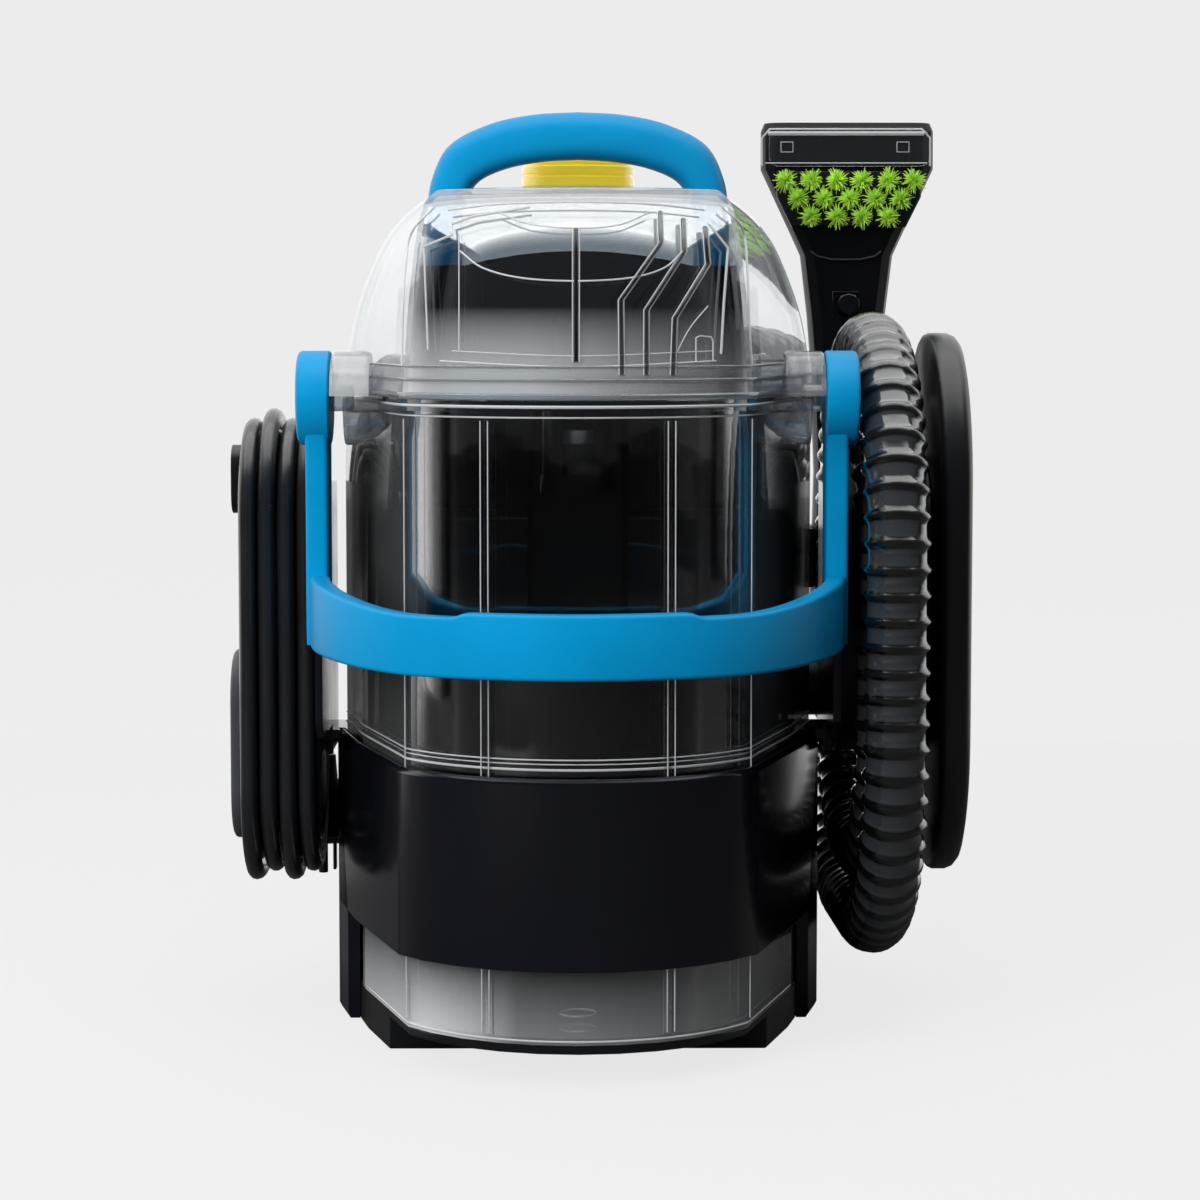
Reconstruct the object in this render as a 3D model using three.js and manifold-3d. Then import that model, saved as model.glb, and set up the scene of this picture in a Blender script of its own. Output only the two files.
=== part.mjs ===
// A portable spot extractor for carpet and upholstery, in millimetres.
// +Z is up, the front faces -Y, and the origin is on the floor under the body's mid-plane.
import * as THREE from 'three';
import { mergeVertices } from 'three/addons/utils/BufferGeometryUtils.js';
import Module from 'manifold-3d';

const wasm = await Module();
wasm.setup();

// ---- Driving dimensions ----
const FIT = 0.3; // between pieces that seat on each other
const SLACK = 1; // between pieces that slide past each other
const BOW_STEPS = 5; // facets of half the bowed front
const ROUND = 16; // sides of a large cylinder
const SMALL_ROUND = 10; // sides of a small one

// Chassis
const NOSE_Y = -163;
const CORNER = [78.7, -121];
const FLANK = [102.7, -38.4];
const SIDE = [114.2, 14.4];
const BODY_HALF = 116;
const REAR_STEP = 8; // the rear housing is narrower by this on each side
const REAR_HALF = BODY_HALF - REAR_STEP;
const BAY_BACK = 45.5;
const REAR_Y = 155;
const PAN_TOP = 18.3;
const PAN_FRONT = -80; // the pan is only a thin shelf ahead of this
const SHELF_THICK = 4;
const PAD_RADIUS = 10;
const PAD_HEIGHT = 4;
const PAD_X = 82;
const BAND_LOW = 50.8;
const BAND_TOP = 133.8;
const BAND_WALL = 3;
const BAND_END = 14;
const POST_INNER = 102.5;
const POST_FRONT = -14;
const WALL_INNER = BODY_HALF;
const WALL_THICK = 3.5;
const WALL_FRONT = -55;
const WALL_TOP = 250;

// Dirty tank and lid
const TANK_PLAY = 1.5; // between the band and the tank
const TANK_WALL = 2.5;
const TANK_BACK = 40;
const TIER_HALF = 100;
const TIER_Z = BAND_TOP + 0.5;
const TANK_RIM = 293.5;
const RIM_LIP = 2;
const RIB_WIDTH = 3.2;
const RIB_X = 39.8;
const DIMPLE_RADIUS = 8.5;
const LID_BACK = 36;
const LID_WALL = 2.5;
const FLANK_SHARE = (FLANK[0] - CORNER[0]) / (SIDE[0] - CORNER[0]);
const SEAL_WIDTH = 3;
const SEAL_HEIGHT = 4;
const DECK_Z = 300;
const DECK_THICK = 2.5;
const FLOAT_Y = -30;
const FLOAT_RADIUS = 14;
const FLOAT_HEIGHT = 25;
const FLOAT_RISE = 18;
const STACK_HALF = 24;
const STACK_DEPTH = 24;
const STACK_TOP = 286;

// Bail handle over the tank
const BAIL_Y = -72;
const BAIL_Z = TANK_RIM - 0.8;
const BOSS_RADIUS = 21;
const BOSS_X = 109.5;
const TANK_BOSS_X = BOSS_X - 6; // the bow's ends rise past the tank's own bosses
const PIN_RADIUS = 6;
const PIN_X = 118;
const HUB_OUT = 124.5;
const ARM_OUT = 122;
const ARM_HALF = 12;
const BOW_WALL = 9;
const BOW_NOSE = { low: 177, high: 203 };
const BOW_END = { low: 182, high: 214.5 };

// Rear housing, tower and carry handle
const HOUSING_FRONT = BAY_BACK + 0.5;
const HOUSING_TOP = 236;
const HOUSING_WALL = 3;
const HOUSING_TOP_HALF = 104;
const TOWER_FRONT = HOUSING_FRONT + FIT;
const TOWER_BACK = 80;
const TOWER_HALF = 92;
const TOWER_SHOULDER = [86, 342];
const TOWER_TOP = 360;
const HANDLE_PAD_Z = 353;
const HANDLE_FRONT = 47;
const HANDLE_DEPTH = 26;
const HANDLE_HALF = 73;
const HANDLE_FOOT = 17;
const HANDLE_TOP = 426.6;
const HANDLE_THICK = 23;

// Clean water tank
const CLEAN_FRONT = 84.5;
const CLEAN_BACK = 152;
const CLEAN_HALF = 88;
const CLEAN_FLOOR = 242;
const CLEAN_WALL = 2.5;
const NECK_RADIUS = 22;
const NECK_TOP = 404;
const CAP_RADIUS = 28;
const CAP_LOW = 392.5;
const CAP_TOP = 410;
const CAP_NOTCHES = 10;
const VALVE = [50, 118];
const CUP_RADIUS = 9;
const SPOUT_RADIUS = 8;
const SPOUT_LOW = 227;

// Suction motor, fan and pump
const MOTOR = [-30, 100];
const MOTOR_RADIUS = 38;
const MOTOR_LOW = 62;
const MOTOR_TOP = 150;
const SCROLL_RADIUS = 46;
const SCROLL_TOP = 190;
const SCROLL_WALL = 2.5;
const SHAFT_RADIUS = 4;
const FAN_RADIUS = 38;
const FAN_BLADES = 9;
const DUCT_HALF = 22;
const PORT_LOW = 305;
const PORT_TALL = 27;
const PORT_HEIGHT = [PORT_LOW, PORT_LOW + PORT_TALL];
const DUCT_TOP = PORT_HEIGHT[1] + 8;
const PUMP = { x: [40, 84], y: [80, 128], top: 70 };

// Hose, rack and wand on the right
const HOSE_RADIUS = 15.3;
const HOSE_BORE = 12;
const HOSE_GROOVE = 1.5;
const RIB_PITCH = 13.5;
const HOSE_OUT = 21; // hose plane at Y = 0, beyond the body's side
const HOSE_X = BODY_HALF + HOSE_OUT;
const HOSE_LEAN = -0.04; // sideways drift per millimetre of Y
const WAND_SHIFT = 3.5; // further out at the wand
const OUTER_LOOP = 96;
const INNER_LOOP = 64;
const LOOP_TOP = 220; // centre of the upper bends
const LOOP_LOW = 141.5;
const WAND_Y = 130.6;
const WAND_LOW = 150;
const HUB = { y: [-46, 46], z: [125, 266], out: HOSE_X + 25 };
const FLANGE = { y: [-77, 86], z: [70.5, 321], thick: 14.7, round: 70 };
const CUFF_RADIUS = 17.5;
const CUFF_HEIGHT = 25;
const GRIP_HALF = [17, 18];
const GRIP_TOP = 300;
const TOOL_WIDTH = 86;
const TOOL_TOP = 425;
const TRIGGER_Z = [228, 286];
const TRIGGER_HALF = 7;
const BRUSH_Z = [373, 401];
const BRUSH_HALF = 36;
const TUFT_LENGTH = 12;

// Power cord on the left
const CORD_RADIUS = 4.1;
const CORD_PITCH = 8.9;
const HANK_Z = 175;
const HANK_RUN = 62; // half of a straight run
const HANK_OUTER = 45; // radius of the first turn
const HANK_X = BODY_HALF + 34.9; // outermost column
const LEAD_BEND = 34;
const LEAD_START = 2;
const LEAD_Y = 104;
const HOOK_OUT = HANK_X + 5.6;
const HOOK_LIP = 5;
const HOOK_Z = 247;
const PADDLE = { y: [-24, 24], z: [84, 173] };

// ---- Finishes ----
const finish = (color, roughness, metalness = 0, opacity = 1) =>
  new THREE.MeshStandardMaterial({ color, roughness, metalness, opacity, transparent: opacity < 1 });
const BLACK = finish(0x17181b, 0.4);
const BAND_BLACK = finish(0x1b1c24, 0.15);
const BLUE = finish(0x0aa3e8, 0.35);
const YELLOW = finish(0xdccb45, 0.4);
const LIME = finish(0x9ccb3b, 0.6);
const CLEAR = finish(0xc9d2d6, 0.08, 0, 0.35);
const RUBBER = finish(0x1a1a1a, 0.85);
const GREY = finish(0x8f9396, 0.5);
const WHITE = finish(0xe8e8e4, 0.5);
const STEEL = finish(0xb8bcc0, 0.3, 1);
const BOARD = finish(0x1f6b3a, 0.5);

// ---- Building blocks ----
function solid(geometry) {
  const bare = geometry.clone();
  Object.keys(bare.attributes).filter((key) => key !== 'position').forEach((key) => bare.deleteAttribute(key));
  const merged = mergeVertices(bare, 1e-4);
  const index = Array.from(merged.index.array);
  const kept = [];
  for (let i = 0; i < index.length; i += 3) {
    const [a, b, c] = index.slice(i, i + 3);
    if (a !== b && b !== c && c !== a) kept.push(a, b, c);
  }
  return new wasm.Manifold(new wasm.Mesh({
    numProp: 3,
    vertProperties: Float32Array.from(merged.attributes.position.array),
    triVerts: Uint32Array.from(kept),
  }));
}

function geometryOf(body) {
  const mesh = body.getMesh();
  const geometry = new THREE.BufferGeometry();
  geometry.setAttribute('position', new THREE.Float32BufferAttribute(mesh.vertProperties, 3));
  geometry.setIndex(Array.from(mesh.triVerts));
  geometry.computeVertexNormals();
  return geometry;
}

const join = (...bodies) => bodies.reduce((all, body) => all.add(body));
const cut = (body, ...tools) => tools.reduce((left, tool) => left.subtract(tool), body);

function mirroredGeometry(body) {
  const geometry = geometryOf(body);
  geometry.scale(-1, 1, 1);
  const index = geometry.index.array;
  for (let i = 0; i < index.length; i += 3) [index[i], index[i + 1]] = [index[i + 1], index[i]];
  return geometry;
}

const mirrored = (body) => solid(mirroredGeometry(body));

// Places a point of a flat outline: on axis x it is (y, z), on axis y (x, z) and on axis z (x, y).
function placed(axis, [u, v], along) {
  if (axis === 'x') return new THREE.Vector3(along, u, v);
  if (axis === 'y') return new THREE.Vector3(u, along, v);
  return new THREE.Vector3(u, v, along);
}

// A closed skin over rings of equal count; `flat` is the end rings' outline, or null for an endless skin.
function skin(rings, flat) {
  const count = rings[0].length;
  const index = [];
  const joints = flat ? rings.length - 1 : rings.length;
  for (let r = 0; r < joints; r += 1) {
    const low = r * count;
    const high = ((r + 1) % rings.length) * count;
    for (let i = 0; i < count; i += 1) {
      const j = (i + 1) % count;
      index.push(low + i, low + j, high + j, low + i, high + j, high + i);
    }
  }
  if (flat) {
    const last = (rings.length - 1) * count;
    const outline = flat.map(([u, v]) => new THREE.Vector2(u, v));
    THREE.ShapeUtils.triangulateShape(outline, []).forEach(([a, b, c]) => {
      index.push(c, b, a, last + a, last + b, last + c);
    });
  }
  const geometry = new THREE.BufferGeometry();
  geometry.setAttribute('position', new THREE.Float32BufferAttribute(rings.flat().flatMap((p) => p.toArray()),
    3));
  geometry.setIndex(index);
  return solid(geometry);
}

// A loft through [position, outline] levels along an axis, each outline counterclockwise.
function loft(axis, levels) {
  const turned = axis === 'y'; // (x, z) outlines face -Y
  const order = turned ? [...levels].reverse() : levels;
  return skin(order.map(([along, outline]) => outline.map((point) => placed(axis, point, along))), order[0][1]);
}

const prism = (axis, outline, from, to) => loft(axis, [[from, outline], [to, outline]]);

const block = (x0, x1, y0, y1, z0, z1) => prism('z', [[x0, y0], [x1, y0], [x1, y1], [x0, y1]], z0, z1);

function circle(u, v, radius, sides = ROUND) {
  return Array.from({ length: sides }, (_, i) => {
    const angle = (2 * Math.PI * (i + 0.5)) / sides;
    return [u + radius * Math.cos(angle), v + radius * Math.sin(angle)];
  });
}

const rod = (axis, centre, radius, from, to, sides = SMALL_ROUND) =>
  prism(axis, circle(centre[0], centre[1], radius, sides), from, to);

// A rectangle with rounded corners, counterclockwise.
function rounded([u0, u1], [v0, v1], radius, steps = 4) {
  const corners = [[u1 - radius, v0 + radius], [u1 - radius, v1 - radius], [u0 + radius, v1 - radius],
    [u0 + radius, v0 + radius]];
  return corners.flatMap(([u, v], corner) => Array.from({ length: steps + 1 }, (_, i) => {
    const angle = (Math.PI / 2) * (corner - 1 + i / steps);
    return [u + radius * Math.cos(angle), v + radius * Math.sin(angle)];
  })).filter((p, i, all) => {
    const before = all[(i + all.length - 1) % all.length];
    return Math.hypot(p[0] - before[0], p[1] - before[1]) > 1e-3;
  });
}

// Moves each edge of a counterclockwise outline inwards.
function drawnIn(outline, distance) {
  const count = outline.length;
  const inward = ([u0, v0], [u1, v1]) => {
    const length = Math.hypot(u1 - u0, v1 - v0);
    return [-(v1 - v0) / length, (u1 - u0) / length];
  };
  return outline.map((point, i) => {
    const a = inward(outline[(i + count - 1) % count], point);
    const b = inward(point, outline[(i + 1) % count]);
    const reach = distance / (1 + a[0] * b[0] + a[1] * b[1]);
    return [point[0] + reach * (a[0] + b[0]), point[1] + reach * (a[1] + b[1])];
  });
}

// The body's plan: a bowed front between two corners, then the right flank, mirrored to the left.
function plan(nose, corner, flank) {
  const sag = corner[1] - nose;
  const radius = (corner[0] ** 2 + sag ** 2) / (2 * sag);
  const half = Math.asin(corner[0] / radius);
  const bow = Array.from({ length: 2 * BOW_STEPS + 1 }, (_, i) => {
    const angle = half * (i / BOW_STEPS - 1);
    return [radius * Math.sin(angle), nose + radius * (1 - Math.cos(angle))];
  });
  return [...bow, ...flank, ...flank.map(([x, y]) => [-x, y]).reverse()];
}

// Sweeps sections along a path; `side` stays across it, and sections are (along side, across both).
function sweepRings(path, sectionAt, side) {
  return path.map((point, i) => {
    const before = path[Math.max(i - 1, 0)];
    const after = path[Math.min(i + 1, path.length - 1)];
    const tangent = after.clone().sub(before).normalize();
    const across = side.clone().addScaledVector(tangent, -side.dot(tangent)).normalize();
    const up = tangent.clone().cross(across);
    return sectionAt(i).map(([a, b]) => point.clone().addScaledVector(across, a).addScaledVector(up, b));
  });
}

const CHASSIS_PLAN = plan(NOSE_Y, CORNER, [FLANK, SIDE, [BODY_HALF, BAY_BACK], [REAR_HALF, BAY_BACK + 10],
  [REAR_HALF, REAR_Y - 22], [REAR_HALF - 8, REAR_Y - 6], [REAR_HALF - 24, REAR_Y]]);
const TANK_INSET = BAND_WALL + TANK_PLAY;
const FAR = 600; // beyond every piece, for cutting away a side

// ---- Chassis ----
const padPlaces = [['front_left', -1, -62], ['front_right', 1, -62], ['rear_left', -1, 135],
  ['rear_right', 1, 135]]
  .map(([name, side, y]) => ({ name, x: side * (y < 0 ? PAD_X - 14 : PAD_X), y }));

function basePan() {
  const deep = loft('z', [[0, drawnIn(CHASSIS_PLAN, 2.5)], [3, CHASSIS_PLAN], [PAN_TOP, CHASSIS_PLAN]]);
  const beside = block(POST_INNER - FIT, FAR, -FAR, BAY_BACK + FIT, -1, FAR);
  const front = block(-FAR, FAR, -FAR, PAN_FRONT, -1, PAN_TOP - SHELF_THICK);
  const shelfLine = cut(block(-FAR, FAR, -FAR, POST_FRONT, -1, FAR), prism('z', tankPlan(1), -2, FAR));
  const pockets = padPlaces.map(({ x, y }) => rod('z', [x, y], PAD_RADIUS + FIT, -1, PAD_HEIGHT + FIT));
  return cut(deep, beside, mirrored(beside), front, shelfLine, ...pockets);
}

function footPad({ x, y }) {
  return loft('z', [[0, circle(x, y, PAD_RADIUS - 1, SMALL_ROUND)], [1, circle(x, y, PAD_RADIUS, SMALL_ROUND)],
    [PAD_HEIGHT, circle(x, y, PAD_RADIUS, SMALL_ROUND)]]);
}

const bandSpace = (grow) => cut(
  loft('z', [[BAND_LOW - grow, CHASSIS_PLAN], [BAND_TOP + grow, CHASSIS_PLAN]]),
  prism('z', drawnIn(CHASSIS_PLAN, BAND_WALL + grow), 0, FAR),
  block(-FAR, FAR, BAND_END + grow, FAR, 0, FAR),
);

function frontBand() {
  const outer = loft('z', [[BAND_LOW, CHASSIS_PLAN], [BAND_TOP - 2, CHASSIS_PLAN],
    [BAND_TOP, drawnIn(CHASSIS_PLAN, 1.6)]]);
  return cut(outer, prism('z', drawnIn(CHASSIS_PLAN, BAND_WALL), 0, FAR), block(-FAR, FAR, BAND_END, FAR,
    0, FAR));
}

// The right side frame: a post beside the tank, a shelf under its upper tier and the wall above.
function sideFrame() {
  const body = loft('z', [[0, drawnIn(CHASSIS_PLAN, 1)], [2, CHASSIS_PLAN], [TIER_Z - FIT, CHASSIS_PLAN]]);
  const post = cut(body.intersect(block(POST_INNER, FAR, POST_FRONT, BAY_BACK, 0, FAR)), bandSpace(FIT));
  const shelfFront = POST_FRONT + 20;
  const shelf = block(POST_INNER, WALL_INNER + 1, shelfFront, BAY_BACK - 1, BAND_TOP - 4, TIER_Z - FIT);
  const corner = [WALL_FRONT + 12, WALL_TOP - 12];
  const wallLow = BAND_TOP + 3;
  const arc = Array.from({ length: 5 }, (_, i) => {
    const angle = (Math.PI / 2) * (1 + i / 4);
    return [corner[0] + 12 * Math.cos(angle), corner[1] + 12 * Math.sin(angle)];
  });
  const wall = prism('x', [[WALL_FRONT, wallLow + 8], [WALL_FRONT + 8, wallLow], [shelfFront, wallLow],
    [shelfFront, BAND_TOP - 10], [BAY_BACK, BAND_TOP - 10], [BAY_BACK, WALL_TOP], ...arc],
  WALL_INNER, WALL_INNER + WALL_THICK);
  return cut(join(post, shelf, wall), bandSpace(FIT));
}

// ---- Rear housing and tower ----
function housingOutline(half, inset = 0) {
  return drawnIn([[half, HOUSING_FRONT], [half, REAR_Y - 22], [half - 8, REAR_Y - 6], [half - 24, REAR_Y],
    [24 - half, REAR_Y], [8 - half, REAR_Y - 6], [-half, REAR_Y - 22], [-half, HOUSING_FRONT]], inset);
}

const GRILLE = { x: [MOTOR[0] - 34, MOTOR[0] + 34], z: [SCROLL_TOP - 42, SCROLL_TOP] };
const SWITCH = { x: [52, 74], z: [190, 204] };
const elbowY = INNER_LOOP;
const elbowX = HOSE_X + HOSE_LEAN * elbowY;
const ELBOW_RADIUS = 16;
const ELBOW_BEND = 20;
const ELBOW_TOP = 184.6;
const elbowZ = ELBOW_TOP - HOSE_RADIUS - ELBOW_BEND;

function rearHousing() {
  const outer = loft('z', [[PAN_TOP + FIT, housingOutline(REAR_HALF - 1)],
    [HOUSING_TOP - 5, housingOutline(HOUSING_TOP_HALF)],
    [HOUSING_TOP, housingOutline(HOUSING_TOP_HALF, 4)]]);
  const inner = loft('z', [[0, housingOutline(REAR_HALF - 1, HOUSING_WALL)],
    [HOUSING_TOP - HOUSING_WALL, housingOutline(HOUSING_TOP_HALF, HOUSING_WALL)]]);
  const ductHole = block(MOTOR[0] - DUCT_HALF - SLACK, MOTOR[0] + DUCT_HALF + SLACK, TOWER_FRONT + 4 - SLACK,
    TOWER_BACK - 2, HOUSING_TOP - 10, FAR);
  return cut(
    outer,
    inner,
    ductHole,
    rod('z', VALVE, CUP_RADIUS + 4 + FIT, HOUSING_TOP - 10, FAR, ROUND),
    block(GRILLE.x[0] - FIT, GRILLE.x[1] + FIT, REAR_Y - 10, FAR, GRILLE.z[0] - FIT, GRILLE.z[1] + FIT),
    block(SWITCH.x[0] - FIT, SWITCH.x[1] + FIT, REAR_Y - 10, FAR, SWITCH.z[0] - FIT, SWITCH.z[1] + FIT),
    rod('x', [elbowY, elbowZ], ELBOW_RADIUS + FIT, REAR_HALF - 12, FAR),
    rod('x', [LEAD_Y, hankLow], 6 + FIT, -FAR, 12 - REAR_HALF),
  );
}

function towerOutline(inset) {
  const [shoulder, shoulderZ] = TOWER_SHOULDER;
  const rise = TOWER_TOP - shoulderZ;
  const radius = (shoulder ** 2 + rise ** 2) / (2 * rise);
  const half = Math.asin(shoulder / radius);
  const arch = Array.from({ length: 13 }, (_, i) => {
    const angle = half * (1 - i / 6);
    return [radius * Math.sin(angle), TOWER_TOP - radius * (1 - Math.cos(angle))];
  });
  return drawnIn([[-TOWER_HALF, HOUSING_TOP + FIT], [TOWER_HALF, HOUSING_TOP + FIT], ...arch], inset);
}

function towerShell() {
  const shell = cut(prism('y', towerOutline(0), TOWER_FRONT, TOWER_BACK),
    prism('y', towerOutline(3), TOWER_FRONT + 3, FAR));
  const pads = [-1, 1].map((side) => {
    const [inner, outer] = [HANDLE_HALF - HANDLE_FOOT - 2, HANDLE_HALF + 3].map((x) => side * x).sort((a,
      b) => a - b);
    return block(inner, outer, TOWER_FRONT, TOWER_BACK, TOWER_SHOULDER[1] - 6, HANDLE_PAD_Z);
  });
  const pegHoles = [-1, 1].map((side) => handlePeg(side, FIT));
  const port = block(MOTOR[0] - DUCT_HALF + 3, MOTOR[0] + DUCT_HALF - 3, 0, TOWER_FRONT + 10, ...PORT_HEIGHT);
  const openFoot = block(3 - TOWER_HALF, TOWER_HALF - 3, TOWER_FRONT + 3, FAR, 0, HOUSING_TOP + 10);
  return cut(join(shell, ...pads), port, openFoot, ...pegHoles);
}

// A peg under each end of the carry handle.
function handlePeg(side, grow) {
  const x = side * (HANDLE_HALF - HANDLE_FOOT / 2);
  return rod('z', [x, HANDLE_FRONT + HANDLE_DEPTH / 2], 4 + grow, HANDLE_PAD_Z - 14 - grow, HANDLE_PAD_Z + 4);
}

const towerBack = () => {
  const plate = prism('y', drawnIn(towerOutline(0), 0.5), TOWER_BACK + FIT, TOWER_BACK + 3);
  const lip = cut(prism('y', towerOutline(3 + FIT), TOWER_BACK - 3, TOWER_BACK + 1),
    prism('y', towerOutline(5.5), 0, FAR));
  const cleared = block(-HANDLE_HALF - 4, HANDLE_HALF + 4, 0, TOWER_BACK, TOWER_SHOULDER[1] - 8, FAR);
  const footCleared = block(-FAR, FAR, 0, TOWER_BACK, 0, HOUSING_TOP + 12);
  return plate.add(cut(lip, cleared, footCleared));
};

function suctionDuct() {
  const [x0, x1] = [MOTOR[0] - DUCT_HALF, MOTOR[0] + DUCT_HALF];
  const front = TOWER_FRONT + 3 + FIT;
  const back = TOWER_BACK - 4;
  const low = SCROLL_TOP + FIT;
  const wall = 2;
  const upright = block(x0, x1, front, back, low, DUCT_TOP);
  const foot = block(x0, x1, front + 2, MOTOR[1] + 18, low, HOUSING_TOP - HOUSING_WALL - 2);
  const inside = join(
    block(x0 + wall, x1 - wall, front + wall, back - wall, low + wall, DUCT_TOP - wall),
    block(x0 + wall, x1 - wall, front + 2 + wall, MOTOR[1] + 18 - wall, low + wall,
      HOUSING_TOP - HOUSING_WALL - 2 - wall),
  );
  return cut(upright.add(foot), inside, rod('z', MOTOR, 13, 0, low + 10),
    block(x0 + 4, x1 - 4, 0, front + 6, PORT_HEIGHT[0], PORT_HEIGHT[1]));
}

// The carry handle: a rounded arch in the XZ plane.
function carryHandle() {
  const reach = 30;
  const outer = [[HANDLE_HALF, HANDLE_PAD_Z + FIT]];
  const half = HANDLE_HALF - 3;
  Array.from({ length: 6 }, (_, i) => outer.push([
    half - reach + reach * Math.cos((Math.PI / 2) * (i / 5)),
    HANDLE_TOP - 3 - reach + reach * Math.sin((Math.PI / 2) * (i / 5)),
  ]));
  outer.push([0, HANDLE_TOP]);
  const gap = HANDLE_HALF - HANDLE_FOOT;
  const innerTop = HANDLE_TOP - HANDLE_THICK;
  const inner = [[gap, HANDLE_PAD_Z + FIT]];
  Array.from({ length: 5 }, (_, i) => inner.push([
    gap - 16 + 14 * Math.cos((Math.PI / 2) * (i / 4)),
    innerTop - 17 + 14 * Math.sin((Math.PI / 2) * (i / 4)),
  ]));
  inner.push([0, innerTop]);
  const flip = (points) => points.slice(0, -1).map(([x, z]) => [-x, z]).reverse();
  const full = [...outer, ...flip(outer)];
  const hole = [...inner, ...flip(inner)];
  const [front, back] = [HANDLE_FRONT, HANDLE_FRONT + HANDLE_DEPTH];
  const soft = 3;
  const arch = loft('y', [[front, drawnIn(full, soft)], [front + soft, full], [back - soft, full],
    [back, drawnIn(full, soft)]]);
  const grip = loft('y', [[front - 1, drawnIn(hole, -soft - 1)], [front + soft, hole], [back - soft, hole],
    [back + 1, drawnIn(hole, -soft - 1)]]);
  const squareFoot = block(-FAR, FAR, -FAR, FAR, 0, HANDLE_PAD_Z + FIT);
  return join(cut(arch, grip, block(-gap + 8, gap - 8, front - 5, back + 5, 0, innerTop - 30), squareFoot),
    handlePeg(-1, 0), handlePeg(1, 0));
}

// ---- Hose rack ----
function rackHub() {
  const outline = rounded(HUB.y, HUB.z, 46, 6);
  const [from, to] = [WALL_INNER + WALL_THICK + FIT, HUB.out];
  return cut(loft('x', [[from, outline], [to, drawnIn(outline, 1.5)]]), prism('x', drawnIn(outline, 4),
    0, to - 4));
}

function rackFlange() {
  const outline = rounded(FLANGE.y, FLANGE.z, FLANGE.round, 6);
  const from = HUB.out + FIT;
  const dish = drawnIn(outline, 22);
  const body = loft('x', [[from, drawnIn(outline, 3)], [from + 3, outline], [from + FLANGE.thick - 5, outline],
    [from + FLANGE.thick, drawnIn(outline, 7)]]);
  return cut(body, loft('x', [[from + FLANGE.thick - 2.5, dish],
    [from + FLANGE.thick + 1, drawnIn(dish, -2)]]));
}

// ---- Hose ----
// A path of straight runs and bends in the (y, z) plane, sampled at a steady step.
function route(start, heading, moves, step) {
  const length = moves.reduce((sum, move) => sum + (move.run ?? Math.abs(move.turn) * move.radius), 0);
  const count = Math.round(length / step);
  const points = [];
  for (let i = 0; i <= count; i += 1) {
    let left = (length * i) / count;
    let [y, z] = start;
    let angle = heading;
    for (const move of moves) {
      const size = move.run ?? Math.abs(move.turn) * move.radius;
      const part = Math.min(left, size);
      if (move.run !== undefined) {
        y += part * Math.cos(angle);
        z += part * Math.sin(angle);
      } else {
        const sign = Math.sign(move.turn);
        const swept = (sign * part) / move.radius;
        const [cy, cz] = [y - sign * move.radius * Math.sin(angle), z + sign * move.radius * Math.cos(angle)];
        angle += swept;
        y = cy + sign * move.radius * Math.sin(angle);
        z = cz - sign * move.radius * Math.cos(angle);
      }
      left -= part;
      if (left <= 0) break;
    }
    points.push([y, z]);
  }
  return points;
}

const QUARTER = Math.PI / 2;
const hoseX = (y) => HOSE_X + HOSE_LEAN * y + WAND_SHIFT * THREE.MathUtils.smoothstep(y, OUTER_LOOP + 1,
  WAND_Y);
const WAND_BEND = 68;
const INNER_BEND = 72.5;
const HOSE_LOW = LOOP_LOW - OUTER_LOOP; // height of the lowest run
const hoseMoves = [
  { run: WAND_LOW - HOSE_LOW - WAND_BEND }, { turn: -QUARTER, radius: WAND_BEND }, { run: WAND_Y - WAND_BEND },
  { turn: -QUARTER, radius: OUTER_LOOP }, { run: LOOP_TOP - LOOP_LOW },
    { turn: -2 * QUARTER, radius: OUTER_LOOP },
  { run: LOOP_TOP - (LOOP_LOW - INNER_LOOP) - INNER_BEND }, { turn: -QUARTER, radius: INNER_BEND },
  { run: OUTER_LOOP - INNER_BEND }, { turn: -QUARTER, radius: INNER_LOOP }, { run: LOOP_TOP - LOOP_LOW },
  { turn: -2 * QUARTER, radius: INNER_LOOP }, { run: LOOP_TOP - ELBOW_TOP - FIT },
];

function hosePath() {
  return route([WAND_Y, WAND_LOW - FIT], -QUARTER, hoseMoves, RIB_PITCH / 2)
    .map(([y, z]) => new THREE.Vector3(hoseX(y), y, z));
}

function stretchHose() {
  const path = hosePath();
  const side = new THREE.Vector3(1, HOSE_LEAN, 0).normalize();
  const section = (radius) => circle(0, 0, radius, 8);
  const straight = Math.ceil((2 * HOSE_RADIUS) / (RIB_PITCH / 2));
  const outer = sweepRings(path, (i) => {
    const plain = i < 2 || i > path.length - 3;
    return section(plain || i % 2 === 0 ? HOSE_RADIUS : HOSE_RADIUS - HOSE_GROOVE);
  }, side);
  const bore = sweepRings(path, () => section(HOSE_BORE), side)
    .filter((_, i, all) => i % 10 === 0 || i === all.length - 1 || (i < straight && i % 4 === 0));
  return skin([...outer, ...bore.reverse()], null);
}

function portElbow() {
  const path = [new THREE.Vector3(elbowX, elbowY, ELBOW_TOP), new THREE.Vector3(elbowX, elbowY,
    elbowZ + ELBOW_BEND)];
  for (let i = 1; i <= 4; i += 1) {
    const angle = (QUARTER * i) / 4;
    path.push(new THREE.Vector3(elbowX - ELBOW_BEND * (1 - Math.cos(angle)), elbowY,
      elbowZ + ELBOW_BEND * (1 - Math.sin(angle))));
  }
  path.push(new THREE.Vector3(REAR_HALF - HOUSING_WALL - 2, elbowY, elbowZ));
  const side = new THREE.Vector3(0, 1, 0);
  const outer = sweepRings(path, () => circle(0, 0, ELBOW_RADIUS - 0.5, 12), side);
  const bore = sweepRings(path, () => circle(0, 0, HOSE_BORE, 12), side);
  return skin([...outer, ...bore.reverse()], null);
}

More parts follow.
